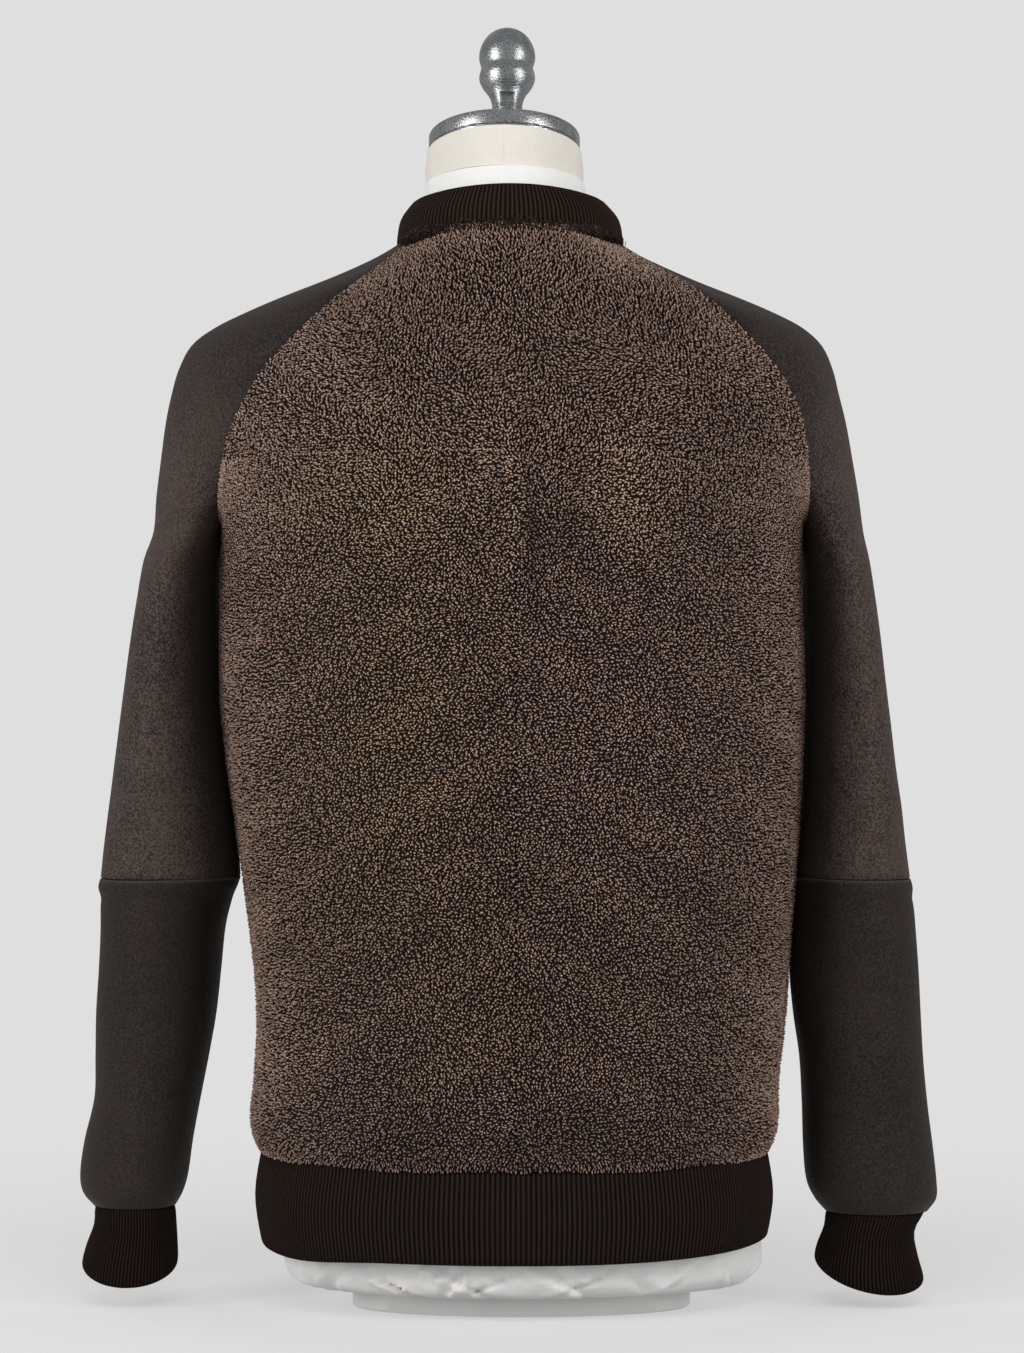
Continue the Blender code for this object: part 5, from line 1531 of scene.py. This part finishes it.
def makeFinial():
    # A turned profile with a flat recess cut into the back of its stem.
    low, high, half, depth = formShape["recess"]
    levels = np.sort(np.concatenate([
        np.linspace(0.0, finialProfile["height"][-1], 76), [low - 0.1, low + 0.1, high - 0.1, high + 0.1]]))
    radii = smoothRows(np.stack([finialProfile["radius"], finialProfile["height"]], 1), 6)
    angles = np.sort(np.concatenate([
        2.0 * np.pi * np.arange(96) / 96 - np.pi,
        [-half - 0.005, -half + 0.005, half - 0.005, half + 0.005]]))
    radiusAt = np.repeat(np.interp(levels, radii[:, 1], radii[:, 0])[:, None], len(angles), axis=1)
    inside = (levels[:, None] > low) & (levels[:, None] < high) & (np.abs(angles)[None] < half)
    floor = depth / np.maximum(np.cos(angles), 0.5)[None]
    radiusAt = np.where(inside, np.minimum(radiusAt, floor), radiusAt)
    rings = np.stack([radiusAt * np.sin(angles), -radiusAt * np.cos(angles),
                      np.repeat(levels[:, None], len(angles), axis=1)], axis=2)
    rings[..., 0] += formShape["finialX"] - formShape["capMiddle"][0]
    rings[..., 2] += formShape["capHeight"] - formShape["capDish"]
    rings = turned(rings, formShape["capLean"], formShape["capMiddle"])
    capped("formFinial", rings, finishes["castMetal"], "form_finial", sharp=35.0)


def makeBase():
    # A low oval plate with rounded edges.
    plate = np.array([(0.985, 0.0), (1.0, 1.4), (1.0, 14.0), (0.99, 15.6), (0.975, 16.2)])
    rings = ovalRings(plate, *formShape["baseReach"], formShape["baseMiddleX"])
    capped("formBase", rings, finishes["paint"], "form_base", sharp=40.0)


makeCover()
makeNeck()
makeCap()
makeFinial()
makeBase()
print("dress form made")


# Stage, light and camera

stageLook = {
    "background": tone(223, 223, 223),
    "surround": 0.52,       # how bright the room is beside the backdrop that the camera sees
    "floorShade": 0.42,
    "floorGlow": 0.40,
    "floorFade": (0.40, 1.25),
    "lens": 114.03,
    "cameraPlace": (0.0027, -2.991, 0.440),
}
lights = [
    # name, place, aimed at, width and height, power
    ("sideLeft", (-2.45, -1.75, 0.95), (0.0, 0.0, 0.5), (1.1, 1.7), 45.0),
    ("sideRight", (2.45, -1.75, 0.95), (0.0, 0.0, 0.5), (1.1, 1.7), 35.0),
    ("overCamera", (0.0, -2.9, 2.3), (0.0, 0.0, 0.5), (2.2, 1.1), 42.0),
    ("rearLeft", (-2.2, 2.3, 1.1), (0.0, 0.0, 0.5), (1.2, 1.7), 16.0),
    ("rearRight", (2.2, 2.3, 1.1), (0.0, 0.0, 0.5), (1.2, 1.7), 16.0),
]


def addLight(name, place, aim, size, power):
    lamp = bpy.data.lights.new(name, "AREA")
    lamp.shape = "RECTANGLE"
    lamp.size, lamp.size_y = size
    lamp.energy = power
    holder = bpy.data.objects.new(name, lamp)
    bpy.context.scene.collection.objects.link(holder)
    way = Vector(aim) - Vector(place)
    holder.matrix_world = way.to_track_quat("-Z", "Y").to_matrix().to_4x4()
    holder.matrix_world.translation = Vector(place)
    # Only the side lights are mirrored in the metal.
    holder.visible_glossy = name.startswith("side")


def makeWorld():
    # A pale backdrop in a dimmer room, so that metal has something darker to mirror.
    world = bpy.data.worlds.new("studio")
    bpy.context.scene.world = world
    world.use_nodes = True
    tree = world.node_tree
    backdrop = tree.nodes["Background"]
    backdrop.inputs["Color"].default_value = stageLook["background"]
    path = tree.nodes.new("ShaderNodeLightPath")
    strength = tree.nodes.new("ShaderNodeMath")
    strength.operation = "MULTIPLY_ADD"
    tree.links.new(path.outputs["Is Camera Ray"], strength.inputs[0])
    strength.inputs[1].default_value = 1.0 - stageLook["surround"]
    strength.inputs[2].default_value = stageLook["surround"]
    tree.links.new(strength.outputs[0], backdrop.inputs["Strength"])


def makeFloor():
    # A pale disc that fades into the backdrop.
    angles = 2.0 * np.pi * np.arange(96) / 96
    radii = np.array([0.2, 0.5, 0.9, 1.3])[:, None]
    rings = np.stack([radii * np.sin(angles), radii * np.cos(angles), np.zeros((4, 96))], 2)
    faces = tubeFaces(4, 96).tolist()
    mesh = bpy.data.meshes.new("floor")
    mesh.from_pydata(rings.reshape(-1, 3).tolist(), [], faces + [list(range(96))])
    finish = Finish("paleFloor", {
        "Roughness": 0.9, "Specular IOR Level": 0.0, "Emission Strength": stageLook["floorGlow"],
        "Emission Color": (1.0, 1.0, 1.0, 1.0)})
    reach = finish.node("ShaderNodeVectorMath", {"operation": "LENGTH"}, {0: finish.place}, "Value")
    near, far = stageLook["floorFade"]
    fade = finish.node("ShaderNodeMapRange", {"interpolation_type": "SMOOTHSTEP"}, {
        "Value": reach, "From Min": near, "From Max": far, "To Min": 1.0, "To Max": 0.0}, "Result")
    shade = (stageLook["floorShade"],) * 3 + (1.0,)
    mesh.materials.append(finish.done(colour=shade, alpha=fade))
    floor = bpy.data.objects.new("floor", mesh)
    bpy.context.scene.collection.objects.link(floor)
    # The floor doesn't light the object from below.
    floor.visible_diffuse = False


def makeCamera():
    camera = bpy.data.cameras.new("photo")
    camera.sensor_fit = "VERTICAL"
    camera.sensor_height = 36.0
    camera.lens = stageLook["lens"]
    holder = bpy.data.objects.new("photo", camera)
    bpy.context.scene.collection.objects.link(holder)
    holder.location = stageLook["cameraPlace"]
    holder.rotation_euler = (math.pi / 2.0, 0.0, 0.0)
    bpy.context.scene.camera = holder
    bpy.context.scene.view_settings.view_transform = "Standard"


def triangles(piece):
    return len(piece.data.loops) - 2 * len(piece.data.polygons)


makeWorld()
makeFloor()
makeCamera()
for light in lights:
    addLight(*light)
counts = {name: triangles(piece) for name, piece in made.items()}
print("triangles added:", sum(counts.values()), "most:", max(counts, key=counts.get), max(counts.values()))
